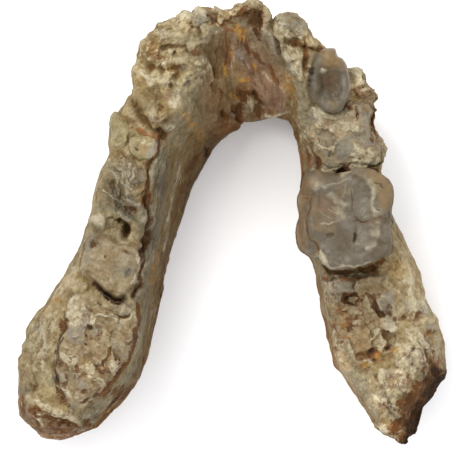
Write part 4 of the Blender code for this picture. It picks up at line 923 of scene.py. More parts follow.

# %% Pale worn edges, and painted highlights on the right second molar
STAINS_AND_PAINTED_LIGHT["pale"] = [
    (0.48, 0.5, -12.6, 21.6, -11.6, 20), (0.56, 0.5, -9.5, 23.2), (0.56, 0.5, -8, 19),
    (0.56, 0.9, -7.8, 28.9, -6, 29.6), (0.7, 0.6, -5.2, 30, -3.6, 29.8), (0.7, 0.9, -8.2, 17.3),
    (0.4, 0.6, -9.6, 26.8), (0.4, 0.6, -12.9, 24.6), (0.8, 0.35, -17.3, 1.7, -15.9, 1.4, -14.5, 0.6),
    (0.8, 0.7, -19, 0.4), (0.7, 0.6, -12.8, 0.6, -11.9, 0.2),
    (0.7, 0.3, -13.2, -4.4, -13.1, -6.4, -13.9, -8.6),
    (0.45, 0.3, -29.3, -24.6, -26, -26.4, -24, -27, -22, -28), (0.6, 0.3, -28, -27, -26.8, -28.4),
    (0.4, 1.6, -26.6, -14, -27.4, -20), (0.4, 0.9, -22.6, -6.6, -24.8, -10),
    (0.35, 0.6, -8.6, 13.4, -10, 8, -11.2, 0, -11.8, -6.4), (0.4, 0.4, -7.4, 8, -8.8, 2, -9.8, -4),
    (0.35, 0.4, -2.3, 30.6, 0.4, 30.4, 3.4, 31.3, 4.8, 30.6, 5.4, 29.2), (0.5, 0.25, 0.4, 24.6, 0.3, 22.9),
    (0.35, 0.9, 2.4, 17, 2.9, 16.2), (0.7, 0.2, 8.4, 16, 6.2, 15.6, 4.6, 15.8),
    (0.3, 0.2, 4.4, 21.5, 5.8, 20.2, 6.8, 18.4, 7.8, 16.8), (0.3, 0.5, -3.6, 28, -2, 27.6),
    (0.2, 1, 5.6, 26.4, 6, 23.8), (0.45, 0.9, 6.8, 28.9, 7.4, 27.4),
    (0.45, 0.8, 8.2, 24.6, 9.4, 23.8, 9.5, 21.4), (0.38, 0.4, 8, 26.8, 10, 26.6),
    (0.6, 0.35, 9.4, 19.6, 9.8, 16, 10.2, 12.2), (0.8, 0.7, 17.6, 21.4, 18.4, 19.8),
    (0.4, 1.5, 24.6, -8.6, 26.6, -11.6), (0.8, 0.6, 21.8, -29.4, 22.8, -30.1),
    (0.5, 1.6, 26.4, -16.2, 28, -17.2), (0.45, 1.2, 21.4, -21.2, 24, -22.6),
    # Painted reflection: the second mark on the next line is the pale ridge at the front left of the right
    # second molar.
    (0.4, 0.6, 15.2, -21.2, 19, -27.2), (0.5, 0.5, 11.7, 5.3, 12.6, 5.6, 13.5, 5.2),
    (0.5, 0.5, 14.2, 4.1, 15, 3.4, 16, 2.7), (0.3, 0.14, 12.6, 1.5, 14, 0.9, 15.4, 0.2),
    (0.4, 0.2, 13.6, 5.6, 14.9, 5.8, 16.2, 6.2, 17.6, 6.2),
    # Painted highlight: the first mark on the next line is the soft bright band along the right cusps of the
    # right second molar.
    (0.5, 0.7, 19.3, 5.9, 20.2, 4.7, 19.9, 3.2, 19.9, 2, 20.9, 1.3), (0.2, 1, 18.9, 2.2, 18.8, 1.2),
    (0.42, 0.7, 20.7, 0, 20.6, -1.6), (0.35, 0.8, 18, -2.8, 19.4, -3.4, 20.2, -2.9),
    (0.5, 0.45, 19.2, -3.6, 20.2, -3.2), (0.85, 0.4, 12.6, -4.2, 13.4, -5.6),
    (0.6, 0.22, 13.4, -5.8, 14.2, -6.4, 16.9, -6.3, 19.9, -5.3), (0.9, 0.38, 13.2, 22, 13.2, 21.7),
    (0.9, 0.22, 20.8, -15.4, 20.5, -16.2, 20, -16.8), (0.9, 0.4, -21.3, -12.3),
    (0.6, 0.2, -19.5, -12.9, -17, -13.5, -16.3, -14, -14.8, -13.7, -13.9, -12.9), (0.9, 0.4, -17.2, -20.4),
    (0.4, 0.5, -13, 11.6, -12, 11.4), (0.4, 0.7, 15.2, 2, 15.8, 0.8), (0.35, 0.5, 17.4, 6.3, 17, 4.6),
    (0.2, 0.8, 13, -3, 14.4, -5.2), (0.5, 0.1, 13.8, 1.9, 15, 1.3, 15.9, 1.2),
    (0.5, 0.1, 12.8, 0.2, 13.8, -0.1, 15, 0.2), (0.9, 0.35, 15.9, 7, 16.9, 7.5),
    (0.4, 2.4, 26.6, -17.8, 24.6, -21.2, 22.6, -24.8), (0.25, 0.2, 16.2, 5.8, 16.3, 4.4, 15.8, 3.4),
    (1, 0.45, 12.3, 15.8, 12.9, 15.1, 12.7, 14.4),
    (0.9, 0.17, -17.2, 7.6, -16.5, 6.5, -15.6, 5.8, -14.2, 4.9),
    (0.8, 0.15, -15.8, 9, -15.4, 8, -14.7, 7.2, -14.9, 6.2),
    (0.8, 0.15, -14, 8, -14.2, 6.5, -14.9, 5.5, -15.1, 3.9, -14.7, 3),
    (0.8, 0.17, -18.3, 4.6, -17, 3.5, -16, 2.8), (0.8, 0.14, -16, 3.9, -14.9, 3.1, -13.3, 2.8),
    (0.55, 0.5, -14.7, 8.1, -15.4, 6.4), (0.5, 0.45, 9.5, 13.8, 10, 12.2, 10.1, 10.4),
]
print("pale marks:", len(STAINS_AND_PAINTED_LIGHT["pale"]), "and of all stains:", sum(map(len, STAINS_AND_PAINTED_LIGHT.values())))

# %% [markdown]
# ## Lighter and darker patches, partly painted light and shade
# Some broad patches of the jaw are paler or duller than the rest, whatever lies on them. Others are painted
# light and shade: steep faces that get little light, such as the ramp behind the chin, are made lighter, and
# slopes and bands that lie in shade are made darker. An amount of 0.2 makes the colour a fifth lighter, and
# where patches overlap their amounts are added up.

# %% Lighter and darker patches, partly painted light and shade
TONE_AND_PAINTED_LIGHT = [
    (0.25, 5.5, -10, 25, -8, 22), (0.25, 2.6, -11.5, 20, -11.5, 16), (0.15, 3, -14.5, 14.5, -13.5, 11),
    (-0.2, 3.2, -15.5, 6.5, -16, 3), (-0.12, 3.4, -17.4, -3, -17, -6.5), (0.12, 4, -6.5, 15, -8.5, 12),
    (-0.14, 2.2, -27, -15.5, -27.2, -21), (0.12, 4, -26.5, -26.5, -22, -27.5), (0.2, 3.2, 0.5, 28.5, 3, 27.5),
    # Painted light: the steep ramp behind the chin gets little light, and these marks make it lighter.
    (0.6, 3.4, 1.5, 22.5, 2.5, 20.5), (0.95, 2.2, 5.6, 19.6, 6.6, 18), (0.3, 2.5, -3, 25, -2.4, 17.6),
    (0.12, 2.5, 8.5, 26.5, 8.5, 22.5), (-0.18, 6.5, 16, 3, 16.5, -1.5), (0.28, 3.2, 25.2, -7, 26.2, -10),
    (0.2, 5, 22, -20, 26, -17.5), (0.28, 2.4, 17.6, -20.6, 20, -25), (-0.12, 3.4, 13.8, 22, 14, 18.4),
    (-0.22, 1.5, 14, 20.8, 14.1, 18.4), (-0.2, 0.6, 12.5, 20.6, 12.6, 18.2),
    (-0.3, 2, 29.4, -23, 27.4, -26, 25.8, -29.4), (0.1, 3.6, -20.6, -13, -19.4, -20),
    (-0.08, 2.6, -16, 6.4, -14.4, 4), (-0.38, 0.9, -8.9, 15, -10, 8, -11, 2, -11.9, -4.5),
    (-0.2, 1.6, -19.6, -1, -20.4, -3), (0.3, 0.7, 9.3, 14.2, 9.9, 10.4),
    # Painted shade: the front rim slope of the right second molar and the band in front of the left second
    # molar lie in shade, and these marks make them darker.
    (-0.22, 0.9, 11.8, 6.8, 13, 6.4, 14.4, 7), (-0.35, 1.1, -18.4, 2.4, -16, 2.4, -13.6, 1.2, -13, -0.4),
    (1, 0.9, 17.8, 19.4, 17.8, 18.4), (0.4, 1.3, -1.5, 13.6, 3.5, 15.6, 8.5, 15.2),
    (0.4, 1.1, 11.9, -5.5, 13, -12, 14.2, -18, 17, -23.5), (0.6, 1.1, 20.8, -25.6, 22.4, -29.2, 24, -30.6),
    (0.5, 1.1, 22, -23, 24.6, -22), (0.25, 0.8, 20.6, -18.6, 24, -18.4), (0.7, 0.7, 9.9, 9.6, 9.8, 8),
    (-0.5, 1.2, -29.8, -24), (-0.5, 0.9, -22.6, -26.4), (-0.5, 0.8, -25.4, -22.6), (-0.45, 0.9, -19.4, -27.8),
    (0.55, 1, -27.6, -27), (0.6, 0.7, -18.4, -20.8), (0.6, 0.8, -6, 28.5), (0.6, 0.7, -11, 25.2, -7.4, 25.2),
    (0.45, 0.8, -9.2, 23, -8.4, 21.8), (-0.35, 0.8, -5, 27, -5.8, 24.6, -6.6, 22.6), (-0.35, 0.9, -8.2, 18.6),
    (0.5, 1, 10.2, 26.2, 12.6, 25), (-0.2, 0.8, 11.6, 21.4, 11.2, 19.4),
    (-0.4, 0.8, 21.9, -11.6, 22.4, -13.8), (-0.2, 0.8, 15.2, -11.2, 17.6, -11.8),
    (-0.35, 0.9, 17, -19.2, 19.6, -21.2), (0.4, 1, 25, -13.8, 27, -13.2), (-0.45, 0.8, 27, -21.6),
    (-0.5, 0.6, 24.2, -24.4), (0.45, 1.3, 23.6, -6.8), (-0.2, 0.8, -16.4, 12.8), (-0.2, 1, -13, 13),
    (-0.2, 0.8, -12.2, 7.4), (0.2, 0.8, -12.8, 16.8, -11.6, 18.2), (0.35, 0.8, -14, 5.4, -12.8, 4.6),
    (-0.35, 0.8, -13.2, -9.4, -13.4, -10.6), (-0.2, 1.4, -13.2, -4.4, -13, -7, -16, -6.4),
    (-0.25, 0.8, -12, 21, -10, 20.8), (-0.25, 0.8, -10.6, 27.2, -8.4, 27), (0.4, 0.9, -1.4, 13.5, 0.8, 14),
    (0.3, 0.8, 3.6, 16.2), (0.25, 0.9, 11.2, 12.6, 14.8, 12.4), (0.6, 0.7, -27, -30.4, -23.6, -30.6),
    (0.2, 0.9, -23.4, -20, -20.6, -20.2), (-0.2, 1, -13.4, -21.4, -15, -24.6), (0.3, 0.7, 20, 1.2, 20.2, 0.4),
    (-0.2, 0.7, 22.7, 3, 22.8, 1.4),
]
BROKEN_ENDS = [(1, 23, 20.0, 21.5), (-1, 14, 25.0, 28.0)]


def stain_and_painted_light_values(grid, up, power=3):
    """The strength of every kind of stain at each place, and its lighter or darker factor, partly painted
    light.

    Upright walls get none, except at the two broken ends: each is given by its side, how far out it starts,
    and how far back the stains begin and are full. Wisps are pale on their crests and grey between them.
    """
    points = grid.reshape(-1, 3)
    x, y, waver = bent(points)
    ends = sum(ease(-y, begin, full) * (side * x > start) for side, start, begin, full in BROKEN_ENDS)
    seen = np.maximum(up.reshape(-1), ends)
    values = {}
    for word, marks in STAINS_AND_PAINTED_LIGHT.items():
        values[word] = np.clip(strokes(x, y, marks, np.maximum, waver, power) * seen, 0, 1)
    wisps = fibrous(points * [1, 1, 0])
    values["pale"] = np.maximum(values["pale"], 0.7 * ease(wisps, 0.16, 0.26))
    values["grey"] = np.maximum(values["grey"], 0.6 * ease(-wisps, -0.04, 0.1) * (wisps != 0))
    # light: the jaw's own paler and duller patches together with painted light and shade, as a factor on the
    # colour.
    values["light"] = 1 + strokes(x, y, TONE_AND_PAINTED_LIGHT)
    return {word: value.reshape(grid.shape[:2]) for word, value in values.items()}


print(len(TONE_AND_PAINTED_LIGHT), "lighter and darker patches")

# %% [markdown]
# ## Fibres of the inner wall
# The inner wall and the ramp behind the chin show the grain of the bone. The mesh carries where each place
# lies along and across it, so that the finish can draw streaks. A point's number, counted from the outer
# edge of its ring, tells how far round the section it lies.

# %% Fibres
RAY_CENTRE = (-0.6, 36.0)
RAY_TURN = 18.0
INNER_BEGINS = (76, 88)
INNER_ENDS = (160, 175)
RAMP_BEGINS = (80, 95)
RAMP_BACK = (9.0, 15.0)
RAMP_LEFT = (-5.5, -2.5)
RAMP_RIGHT = (-9.0, -6.5)
UPPER_HALF = (100, 140)
LOWER_HALF = (136, 156)


def fibre_values(grid, share):
    """Places along and across the fibres, and how much of the surface is inner wall.

    On the arms the fibres follow the jaw, so the place along is the length of the path through the rings'
    middles. On the ramp they fan out from a point on the front rim, so there it is a distance and an angle.
    """
    middle = grid.mean(axis=1)
    length = path_length(middle)
    width = np.linalg.norm(grid[..., :2] - grid[:, :1, :2], axis=2)
    x, y = grid[..., 0], grid[..., 1]
    dx, dy = x - RAY_CENTRE[0], y - RAY_CENTRE[1]
    ray = np.hypot(dx, dy)
    point = np.broadcast_to(np.arange(share.shape[1]), share.shape)
    inner = ease(point, *INNER_BEGINS) * (1 - ease(point, *INNER_ENDS))
    ramp = ease(y, *RAMP_BACK) * ease(x, *RAMP_LEFT) * ease(-x, *RAMP_RIGHT) * ease(point, *RAMP_BEGINS)
    return {
        "along": np.broadcast_to(length[:, None], share.shape),
        "across": width,
        "ray": ray,
        "turn": np.arctan2(dx, -dy) * RAY_TURN,
        "inner": np.maximum(inner, ramp),
        "ramp": ramp,
        "depth": 0.7 * ease(point, *UPPER_HALF) + 0.3 * ease(point, *LOWER_HALF),
    }


bone_fibres = fibre_values(bone, bone_share)
print("fibres run", bone_fibres["along"].max().round(1), "mm along the jaw")

# %% [markdown]
# ## The bone itself
# The outlines were measured from above, and the camera sees low things a little smaller, so the low parts
# are spread by the same little amount. Then the grid becomes the mesh.

# %% The bone's mesh
CAMERA_X = 0.107
CAMERA_Y = -1.321
CAMERA_Z = 1525.0
TOOTH_PLANE = 25.0


def spread(grid):
    """Plan places as seen through the camera, put where they really are: further out the lower they lie."""
    share = (CAMERA_Z - grid[..., 2:]) / (CAMERA_Z - TOOTH_PLANE)
    middle = np.array([CAMERA_X, CAMERA_Y])
    return np.concatenate([middle + (grid[..., :2] - middle) * share, grid[..., 2:]], axis=-1)


bone_values = stain_and_painted_light_values(bone, ease(outward_normals(bone)[..., 2], 0.02, 0.22))
bone_values["hollow"] = hollows(bone_height)
bone_values["wall"] = 1 - bone_up
bone_values["block"] = bone_block
bone_values.update(bone_fibres)
bone_object = grid_mesh("bone", spread(bone_sculpted), bone_values)
print("bone:", len(bone_object.data.vertices), "vertices")

# %% [markdown]
# ## A tooth
# A tooth is rings round its outline: up its side, over the rim and in to the middle. Only the top carries
# detail, a height for each place in plan; the side goes down into the socket, unseen. Cusps, basins, cracks
# and chips of all the teeth share one list of marks.

# %% Relief of the teeth
TOOTH_RELIEF = [
    (-0.9, 4.4, 15.6, 1.6, 17, -0.6), (0.3, 1, 12.4, 5.7, 13.4, 5.7),
    (0.3, 0.8, 11.8, 4.4, 11.7, 1.6, 12, -1.6), (-1.6, 1, 9.5, 6, 9.6, 3, 9.4, 0, 9.7, -3.2, 10.6, -4.6),
    (-0.25, 0.15, 11, 2, 10.6, 1, 10.8, 0, 11.1, -1.5, 11.4, -2.8, 12.3, -3.8),
    (0.3, 1, 20, 5.8, 20.4, 3.4, 20.3, 1.6), (-0.25, 1, 18.4, 5.4, 18.5, 2.4),
    (-0.5, 0.9, 22.4, 5.2, 22.6, 2.6), (-0.1, 0.08, 17.1, 5.2, 17.2, 3.4, 17.2, 2, 17.9, 0.5),
    (-0.15, 0.1, 17.9, 0.35, 19.3, 0.25, 20, 0.55, 22.4, 0.9), (-0.06, 0.08, 17.9, 0.4, 17.8, -1.4),
    (-0.5, 0.2, 17.7, -1.8, 17.7, -2.5), (-0.4, 0.35, 13.7, -1.85, 14.3, -1.7), (0.25, 1.6, 20.4, -2.2),
    (-0.4, 0.5, 21.2, -2.8), (-0.3, 0.4, 18.4, -3.9), (-0.35, 1, 13.8, -4.2, 15.8, -4.8),
    (0.25, 0.5, 12.6, -4.3, 13.6, -5.5, 15.2, -6.1), (-0.3, 0.3, 17.3, 7.4, 17.5, 6.4),
    (0.2, 1.3, 14.8, 5, 16, 4), (0.2, 1.6, 13.2, -0.6, 15, -1), (-0.2, 0.8, 12.8, 3.2, 14.8, 2.2, 16.4, 1.2),
    (0.7, 1.5, 13.8, 23.8), (-1.3, 2.3, 14, 20.4, 14.2, 19), (0.2, 0.7, 12.2, 21, 12, 18.4),
    (-0.15, 0.25, 12.9, 22.3, 15, 22.2), (0.25, 0.35, 13.2, 21.8), (0.2, 1.2, 13.4, 17, 15, 16.9),
    (-0.5, 0.35, 16.5, 16.2), (-0.32, 0.25, 15.8, 14.7), (-0.28, 0.2, 14.3, 10.3, 14.3, 9.5),
    (-0.35, 0.2, 17.8, 16.4, 17.9, 14.8), (-0.56, 0.4, 11.4, 11.4, 12.1, 9.6, 12.7, 8.4),
    (-0.4, 0.2, 18.4, 9), (-0.32, 0.2, 19.2, 9.9), (-0.24, 0.2, 17.6, 9.2),
    (-1.3, 0.85, 16.6, -11.1, 17.6, -10.9), (1, 0.45, 17.2, -10.9, 17.7, -10.8),
    (-0.6, 0.35, 19.3, -10.5, 20.4, -11.7, 20.8, -12.5, 21.6, -13.3), (0.5, 0.3, 20.2, -16.7, 21, -15.6),
    (-0.9, 0.45, 18.3, -19.3, 19.4, -18.8, 20.7, -18.3), (-0.25, 0.3, 17.4, -7.8, 17.7, -9.6),
    (-0.5, 0.2, -16.7, -13.4, -15.8, -13.6, -14.8, -13.2), (0.3, 0.2, -19, -13.1, -17.2, -13.3, -16.3, -13.9),
    (-0.5, 0.3, -20.9, -17.4), (-0.5, 0.3, -24.4, -20.3), (-0.5, 0.3, -23.6, -21.5),
    (-0.6, 0.25, -17.5, -17.9, -17.7, -19, -18.5, -19.9), (-0.6, 0.25, -20.8, -14.6, -20.1, -15),
    (-0.4, 0.2, -18.3, -14.2), (-0.5, 0.25, -17.2, -22.5), (-0.4, 0.25, -16.9, -19.1, -16.2, -19.8),
    (0.25, 0.15, -22.7, -24, -22.4, -25), (0.25, 0.12, -20, -22.4, -18.4, -23.4),
    (0.25, 0.12, -19.4, -22.2, -18, -22.9), (-0.2, 0.4, -20.2, -7.2, -18.6, -8.4),
    (-0.15, 0.3, -19.2, -6.4, -17.6, -8), (-0.5, 0.5, -20, -3.3), (0.3, 1.6, -17.4, -5.6),
    (-0.3, 0.2, -18, -4.6), (-0.4, 0.5, -14.8, -6.8), (-0.4, 0.4, -15, -4.3), (-0.5, 0.6, -12.9, 7.3),
    (-0.5, 0.5, -17.3, 5.8), (-0.4, 0.5, -14.4, 4.9, -13.2, 5.4), (-0.5, 0.22, -13.55, 10.65),
    (-0.3, 0.3, -16.2, 11.8), (0.25, 0.9, 18.8, 6.4, 19.9, 5.8, 20.3, 4.6, 19.9, 3.2, 19.9, 2, 21, 1.2),
    (0.3, 0.6, 16, 21.4, 16.3, 19.4, 15.9, 17.6), (0.2, 0.2, -17.2, 7.6, -16.5, 6.5, -15.6, 5.8, -14.2, 4.9),
    (0.2, 0.2, -18.3, 4.6, -17, 3.5, -16, 2.8),
]
print(len(TOOTH_RELIEF), "marks in the relief of the teeth")

# %% [markdown]
# ## Crumbled crowns
# Three crowns have crumbled into plates. Each plate has a stain and its strength, a level, how it leans in
# x and in y, a size, and a line or a spot in plan.

# %% Plates of the crumbled crowns
PLATES = {"left_third_molar": [
    ("pale", 0.8, 0.5, 0.2, 0.2, 0.9, -22.6, -11.4, -22.4, -13.2),
    ("pale", 0.6, 0.5, 0.2, 0.4, 0.7, -21.4, -11.8, -20.9, -12.6),
    ("tan", 0.4, 0.1, 0, 0.4, 0.8, -19.6, -11.7),
    ("tan", 0.5, 0.15, 0.2, 0.2, 0.6, -18.5, -12.1, -17.7, -11.9),
    ("grey", 0.9, 0.3, 0, 0, 0.4, -21.1, -13.9), ("pale", 0.6, 0.25, 0.2, 0.4, 0.6, -19.8, -14.1),
    ("tan", 0.5, 0.5, 0.1, 0.6, 0.9, -18.5, -13.8, -17.2, -14.3), ("grey", 0.7, 0.6, 0, 0.2, 1, -15.7, -12.3),
    ("pale", 0.4, 0.2, -0.4, 0.2, 0.45, -14.4, -12.7, -14.2, -13.6),
    ("olive", 0.25, 0.15, 0.2, 0.2, 0.8, -15.2, -14.3),
    ("grey", 0.4, 0.1, 0.2, -0.2, 0.8, -15.1, -15.6, -16.3, -15.9),
    ("grey", 0.65, 0.2, 0.1, 0.2, 0.95, -22.6, -16.2, -21.6, -16.8),
    ("grey", 0.8, -0.3, 0, 0, 0.5, -19.6, -15.6),
    ("tan", 0.35, 0.2, 0.4, 0.2, 0.75, -18.1, -16, -18.6, -16.6),
    ("tan", 0.45, 0.4, 0.2, -0.2, 1.15, -19.3, -17.8, -18.6, -18.9),
    ("grey", 0.5, 0.15, -0.2, 0.2, 0.9, -16.4, -17.2, -15.7, -18.6),
    ("pink", 0.4, 0.2, -0.2, 0.2, 0.9, -21.4, -18.4, -21.3, -19.3),
    ("pale", 0.8, 0.5, 0, 0.4, 0.6, -24.2, -19.1),
    ("pale", 0.8, 0.4, -0.6, 0.2, 0.5, -22.8, -19.3, -23, -20.4),
    ("grey", 0.4, 0.1, 0.2, 0, 0.6, -24.4, -20.8, -24.2, -22.2),
    ("pale", 0.4, 0.2, 0, 0.2, 1, -20.7, -20.3, -20.2, -21.3),
    ("pale", 0.8, 0.6, 0.2, 0.4, 0.8, -17.5, -20.2, -16.9, -20.6),
    ("tan", 0.4, 0.3, 0, 0.2, 0.5, -18.7, -20.9), ("olive", 0.8, 0.1, 0, 0.6, 0.65, -18, -21.9),
    ("grey", 0.45, 0.1, 0.2, 0.2, 0.75, -22.6, -22.2, -22.9, -22.9),
    ("rust", 0.7, -0.1, 0, 0, 0.5, -21.3, -22.4), ("grey", 0.7, 0.1, 0.2, -0.2, 0.75, -21.2, -23.5),
    ("pale", 0.4, 0.2, 0.2, 0.4, 0.75, -19.3, -22.8, -18.6, -23.4),
    ("pale", 0.5, 0.3, -0.4, 0.2, 0.6, -23.5, -24.1, -23.1, -25.1),
    ("grey", 0.5, 0, 0, 0.2, 0.65, -20.3, -24.2), ("pale", 0.3, 0.1, 0.2, 0, 0.65, -22, -25.3),
    ("pale", 0.3, 0.1, 0.2, 0, 0.6, -24, -17.6, -23.2, -17.9),
], "right_third_molar": [
    ("grey", 0.7, 0, 0, 0.3, 1, 14.6, -8.6, 16.3, -8.9),
    ("olive", 0.25, 0.7, -0.1, 0.3, 1.05, 19, -8.9, 21.2, -9.3),
    ("grey", 0.75, 0.35, -0.2, 0, 0.8, 22.2, -10.7, 21.9, -11.7), ("pale", 0.5, 0.1, 0, 0, 0.9, 23.6, -12.6),
    ("pink", 0.35, 0.4, -0.4, 0, 0.75, 19.4, -11.5, 19.9, -13.2),
    ("pale", 0.3, 0.2, 0, 0.2, 0.75, 17.8, -12.8), ("tan", 0.5, 0.3, 0.4, 0, 0.45, 16.2, -12.6),
    ("grey", 0.5, -0.1, 0.2, 0, 0.9, 14.9, -11.8), ("brown", 0.35, -0.2, 0.2, 0.2, 0.8, 14.9, -14.2),
    ("ochre", 0.5, 0, 0, 0, 0.5, 16.8, -13.9, 16.4, -14.5),
    ("tan", 0.9, 0.45, 0.1, 0.2, 1.3, 18.2, -15.6, 18.6, -17),
    ("pale", 0.45, 0.4, 0.2, 0.2, 0.6, 18.1, -14.2), ("pink", 0.5, 0.2, 0.2, 0, 0.6, 20.2, -14.6),
    ("olive", 0.2, 0.8, 1, 0.2, 0.8, 20.9, -16.2, 21.1, -17.1), ("pale", 0.6, 0.2, 0, 0.2, 0.8, 22.4, -14.5),
    ("olive", 0.9, -0.7, 0, 0, 0.5, 22.4, -16.1), ("olive", 0.9, -0.6, 0, 0, 0.5, 23.1, -17.2),
    ("pale", 0.5, 0.2, 0.2, 0.2, 0.6, 14.8, -16.4), ("tan", 0.5, 0.2, 0.2, 0.2, 0.5, 15.6, -15.5),
    ("pale", 0.4, 0.4, 0.2, 0.4, 0.85, 16.1, -17.8, 16.3, -19),
    ("olive", 0.4, 0.2, 0.2, 0, 0.75, 16.8, -20.1, 17.7, -20.5),
    ("ochre", 0.6, 0.4, 0, 0.6, 0.4, 20.4, -19.1, 23.4, -18.2), ("pale", 0.4, 0.2, 0, 0, 0.5, 19.9, -19.9),
    ("ochre", 0.8, 0, 0, 0, 0.6, 19.2, -20.8),
], "right_first_molar": [
    ("grey", 0.9, -0.3, 0, 0, 0.35, 11.5, 16.2, 11.4, 14.5),
    ("pale", 1, 0.5, 0.4, 0.4, 0.6, 12.4, 15.6, 12.7, 14.5),
    ("tan", 0.7, 0.1, 0, 0.2, 0.7, 13.7, 15, 14.4, 14.4),
    ("pale", 0.7, 0.5, 0, 0.6, 0.35, 12.4, 13.7, 13.8, 13.6, 15, 12.9),
    ("grey", 0.9, -0.9, 0.2, 0.2, 0.8, 12.9, 12.3, 14, 12.2),
    ("pale", 0.7, 0.6, 0, -0.2, 0.35, 12.2, 11.6, 13.2, 10.9, 15.2, 11.3),
    ("tan", 0.5, -0.1, 0.4, 0.2, 0.55, 12.6, 10.1, 13.3, 9.1),
    ("grey", 0.9, 0, 0, 0.2, 0.8, 14.2, 8.6, 13.9, 10.1), ("grey", 1, 0.15, 0, 0.1, 0.95, 16, 11.4, 16, 9.2),
    ("pale", 0.5, 0.3, 0.2, 0.2, 0.95, 15.7, 13.3, 17.2, 14.1),
    ("grey", 0.5, 0.2, 0.2, 0.4, 0.6, 16.8, 15.5, 17.3, 14.8),
    ("grey", 0.6, 0.5, -0.2, 0, 0.9, 18.9, 16.4, 19, 13.9),
    ("grey", 1, -0.2, 0, 0.2, 1, 18.3, 12.2, 19.4, 11.4),
    ("pale", 0.7, 0.5, 0, 0.2, 1.05, 17.7, 10.1, 19.6, 9.4),
    ("grey", 0.4, 0.4, 0, 0.4, 0.45, 20.4, 10.4, 21.6, 10.4),
    ("olive", 0.5, -0.4, 0, 0, 0.5, 19.6, 13, 20.2, 11.6),
    ("grey", 0.6, 0.1, 0, -0.2, 0.45, 18.2, 17.2, 19.6, 17.1), ("tan", 0.4, 0.2, 0, 0.4, 0.6, 15, 16),
]}
PLATE_LOOK = {
    "left_third_molar": (0.7, 0.15, 0.15, 0.45), "right_third_molar": (0.75, 0.14, 0.16, 0.55),
    "right_first_molar": (0.65, 0.3, 0.03, 0.0),
}
print("plates:", {name: len(table) for name, table in PLATES.items()})

# %% [markdown]
# ## Crowns and stumps
# A crown has its own side and a drop at its rim. A stump's level follows the bone round it by a share, and
# at its rim it dives a little under the bone, so that the two meet in a ragged crease and not in a gap.

# %% Building teeth
Crown = namedtuple("Crown", "top drop points rings side")
Stump = namedtuple("Stump", "top crumbled follow rise merge")
CROWNS = {
    "right_second_molar": Crown(
        26.9, 0.75, 440, 150, pairs(17, 0.5, 20.2, 0.74, 21.6, 0.88, 23.4, 0.95, 24.8, 0.99, 25.6, 1)
    ),
    "right_premolar": Crown(
        27.0, 1.0, 300, 76, pairs(18.6, 0.6, 22.4, 0.8, 23.4, 0.9, 24.6, 0.98, 25.4, 1)
    ),
}
STUMPS = {
    "right_first_molar": Stump(23.5, 0.35, 0.3, 0.4, 0.8),
    "right_third_molar": Stump(20.5, 0.5, 0.5, 0.2, 0.8),
    "left_third_molar": Stump(21.8, 0.6, 0.5, 0.4, 0.8),
    "left_second_molar": Stump(22.5, 0.3, 0.3, 0.5, 0.8),
    "left_first_molar_root": Stump(22.6, 0.15, 1.0, 0.1, 0.8),
    "left_premolar_outer_root": Stump(23.1, 0.0, 0.3, 0.3, 0.3),
    "left_premolar_inner_root": Stump(23.3, 0.0, 0.6, 0.3, 0.3),
}
WISPY = "left_first_molar_root"
STUMP_SIDE = pairs(-4.8, 0.9, -2.2, 1.05, -0.5, 1)
STUMP_MESH = (300, 76)
STUMP_DROP = 0.3
SINK = -0.12
GROWN = 0.3
SIDE_RINGS = 26
TOP_CROWDING = 1.15
TOP_HOLE = 0.015
CROWN_RAGGED, STUMP_RAGGED = 0.05, 0.22
CROWN_STAIN_POWER, STUMP_STAIN_POWER = 1.8, 3
CROWN_WALL, STUMP_WALL = (0.6, 3.4), (1.2, 4.5)


def plate_relief(name, flat, x, y):
    """The height and the stains of a crumbled crown's plates, with grooves and earth along their joints."""
    strength, blend, groove, seam = PLATE_LOOK[name]
    edge = 0.28 * np.stack([layered(flat, size=1.3, seed=251 + k) for k in (0, 1)])
    height, joint, stains = plates(x + edge[0], y + edge[1], PLATES[name], blend)
    height -= groove * (1 - ease(joint, 0.0, 0.45)) * ease(noise(flat, size=1.1, seed=255), -0.3, 0.4)
    stains = {word: strength * value for word, value in stains.items()}
    for k, word in enumerate(("brown", "tan")):
        patchy = ease(noise(flat, size=1.6, seed=256 + k), -0.2, 0.4)
        stains[word] = np.maximum(stains.get(word, 0), seam * (1 - ease(joint, 0.0, 1.6)) * patchy)
    return height, stains


def tooth_height(name, x, y, share, depth):
    """The height of a tooth's top over each place in plan.

    It is a level, less a drop at the rim, plus the listed relief, fine noise, and where the crown is
    crumbled its plates. Also gives the relief, the shade of each place's block, and the plates' stains.
    """
    crown, stump = CROWNS.get(name), STUMPS.get(name)
    crumbled = stump.crumbled if stump else 0
    flat = np.stack([x, y, np.zeros_like(x)], axis=1)
    bx, by, waver = bent(flat)
    if stump:
        relief = strokes(bx, by, TOOTH_RELIEF, waver=waver)
    else:
        relief = strokes(bx, by, TOOTH_RELIEF, power=2)
    if name == WISPY:
        relief += fibrous(flat)
    broken, block = rubble(flat)
    relief += 0.6 * crumbled * broken
    stains = {}
    if name in PLATES:
        height, stains = plate_relief(name, flat, bx, by)
        relief += height
    relief += (0.02 + 0.08 * crumbled) * layered(flat, size=0.8, seed=280)
    if crown:
        level = crown.top - crown.drop * (share**18 + 0.8 * share**3) + relief
    else:
        inward_x, inward_y = 0.18 * (x.mean() - x), 0.18 * (y.mean() - y)
        ground = np.maximum(bone_level(x, y), bone_level(x + inward_x, y + inward_y))
        level = stump.top - STUMP_DROP * share**8
        level = level * (1 - stump.follow) + (ground + stump.rise) * stump.follow + relief
        meet = ease(depth, 0.0, stump.merge)
        level = (ground + SINK + 0.25 * layered(flat, size=1.2, seed=290)) * (1 - meet) + level * meet
    return level, relief, (block - 0.5) * crumbled, stains


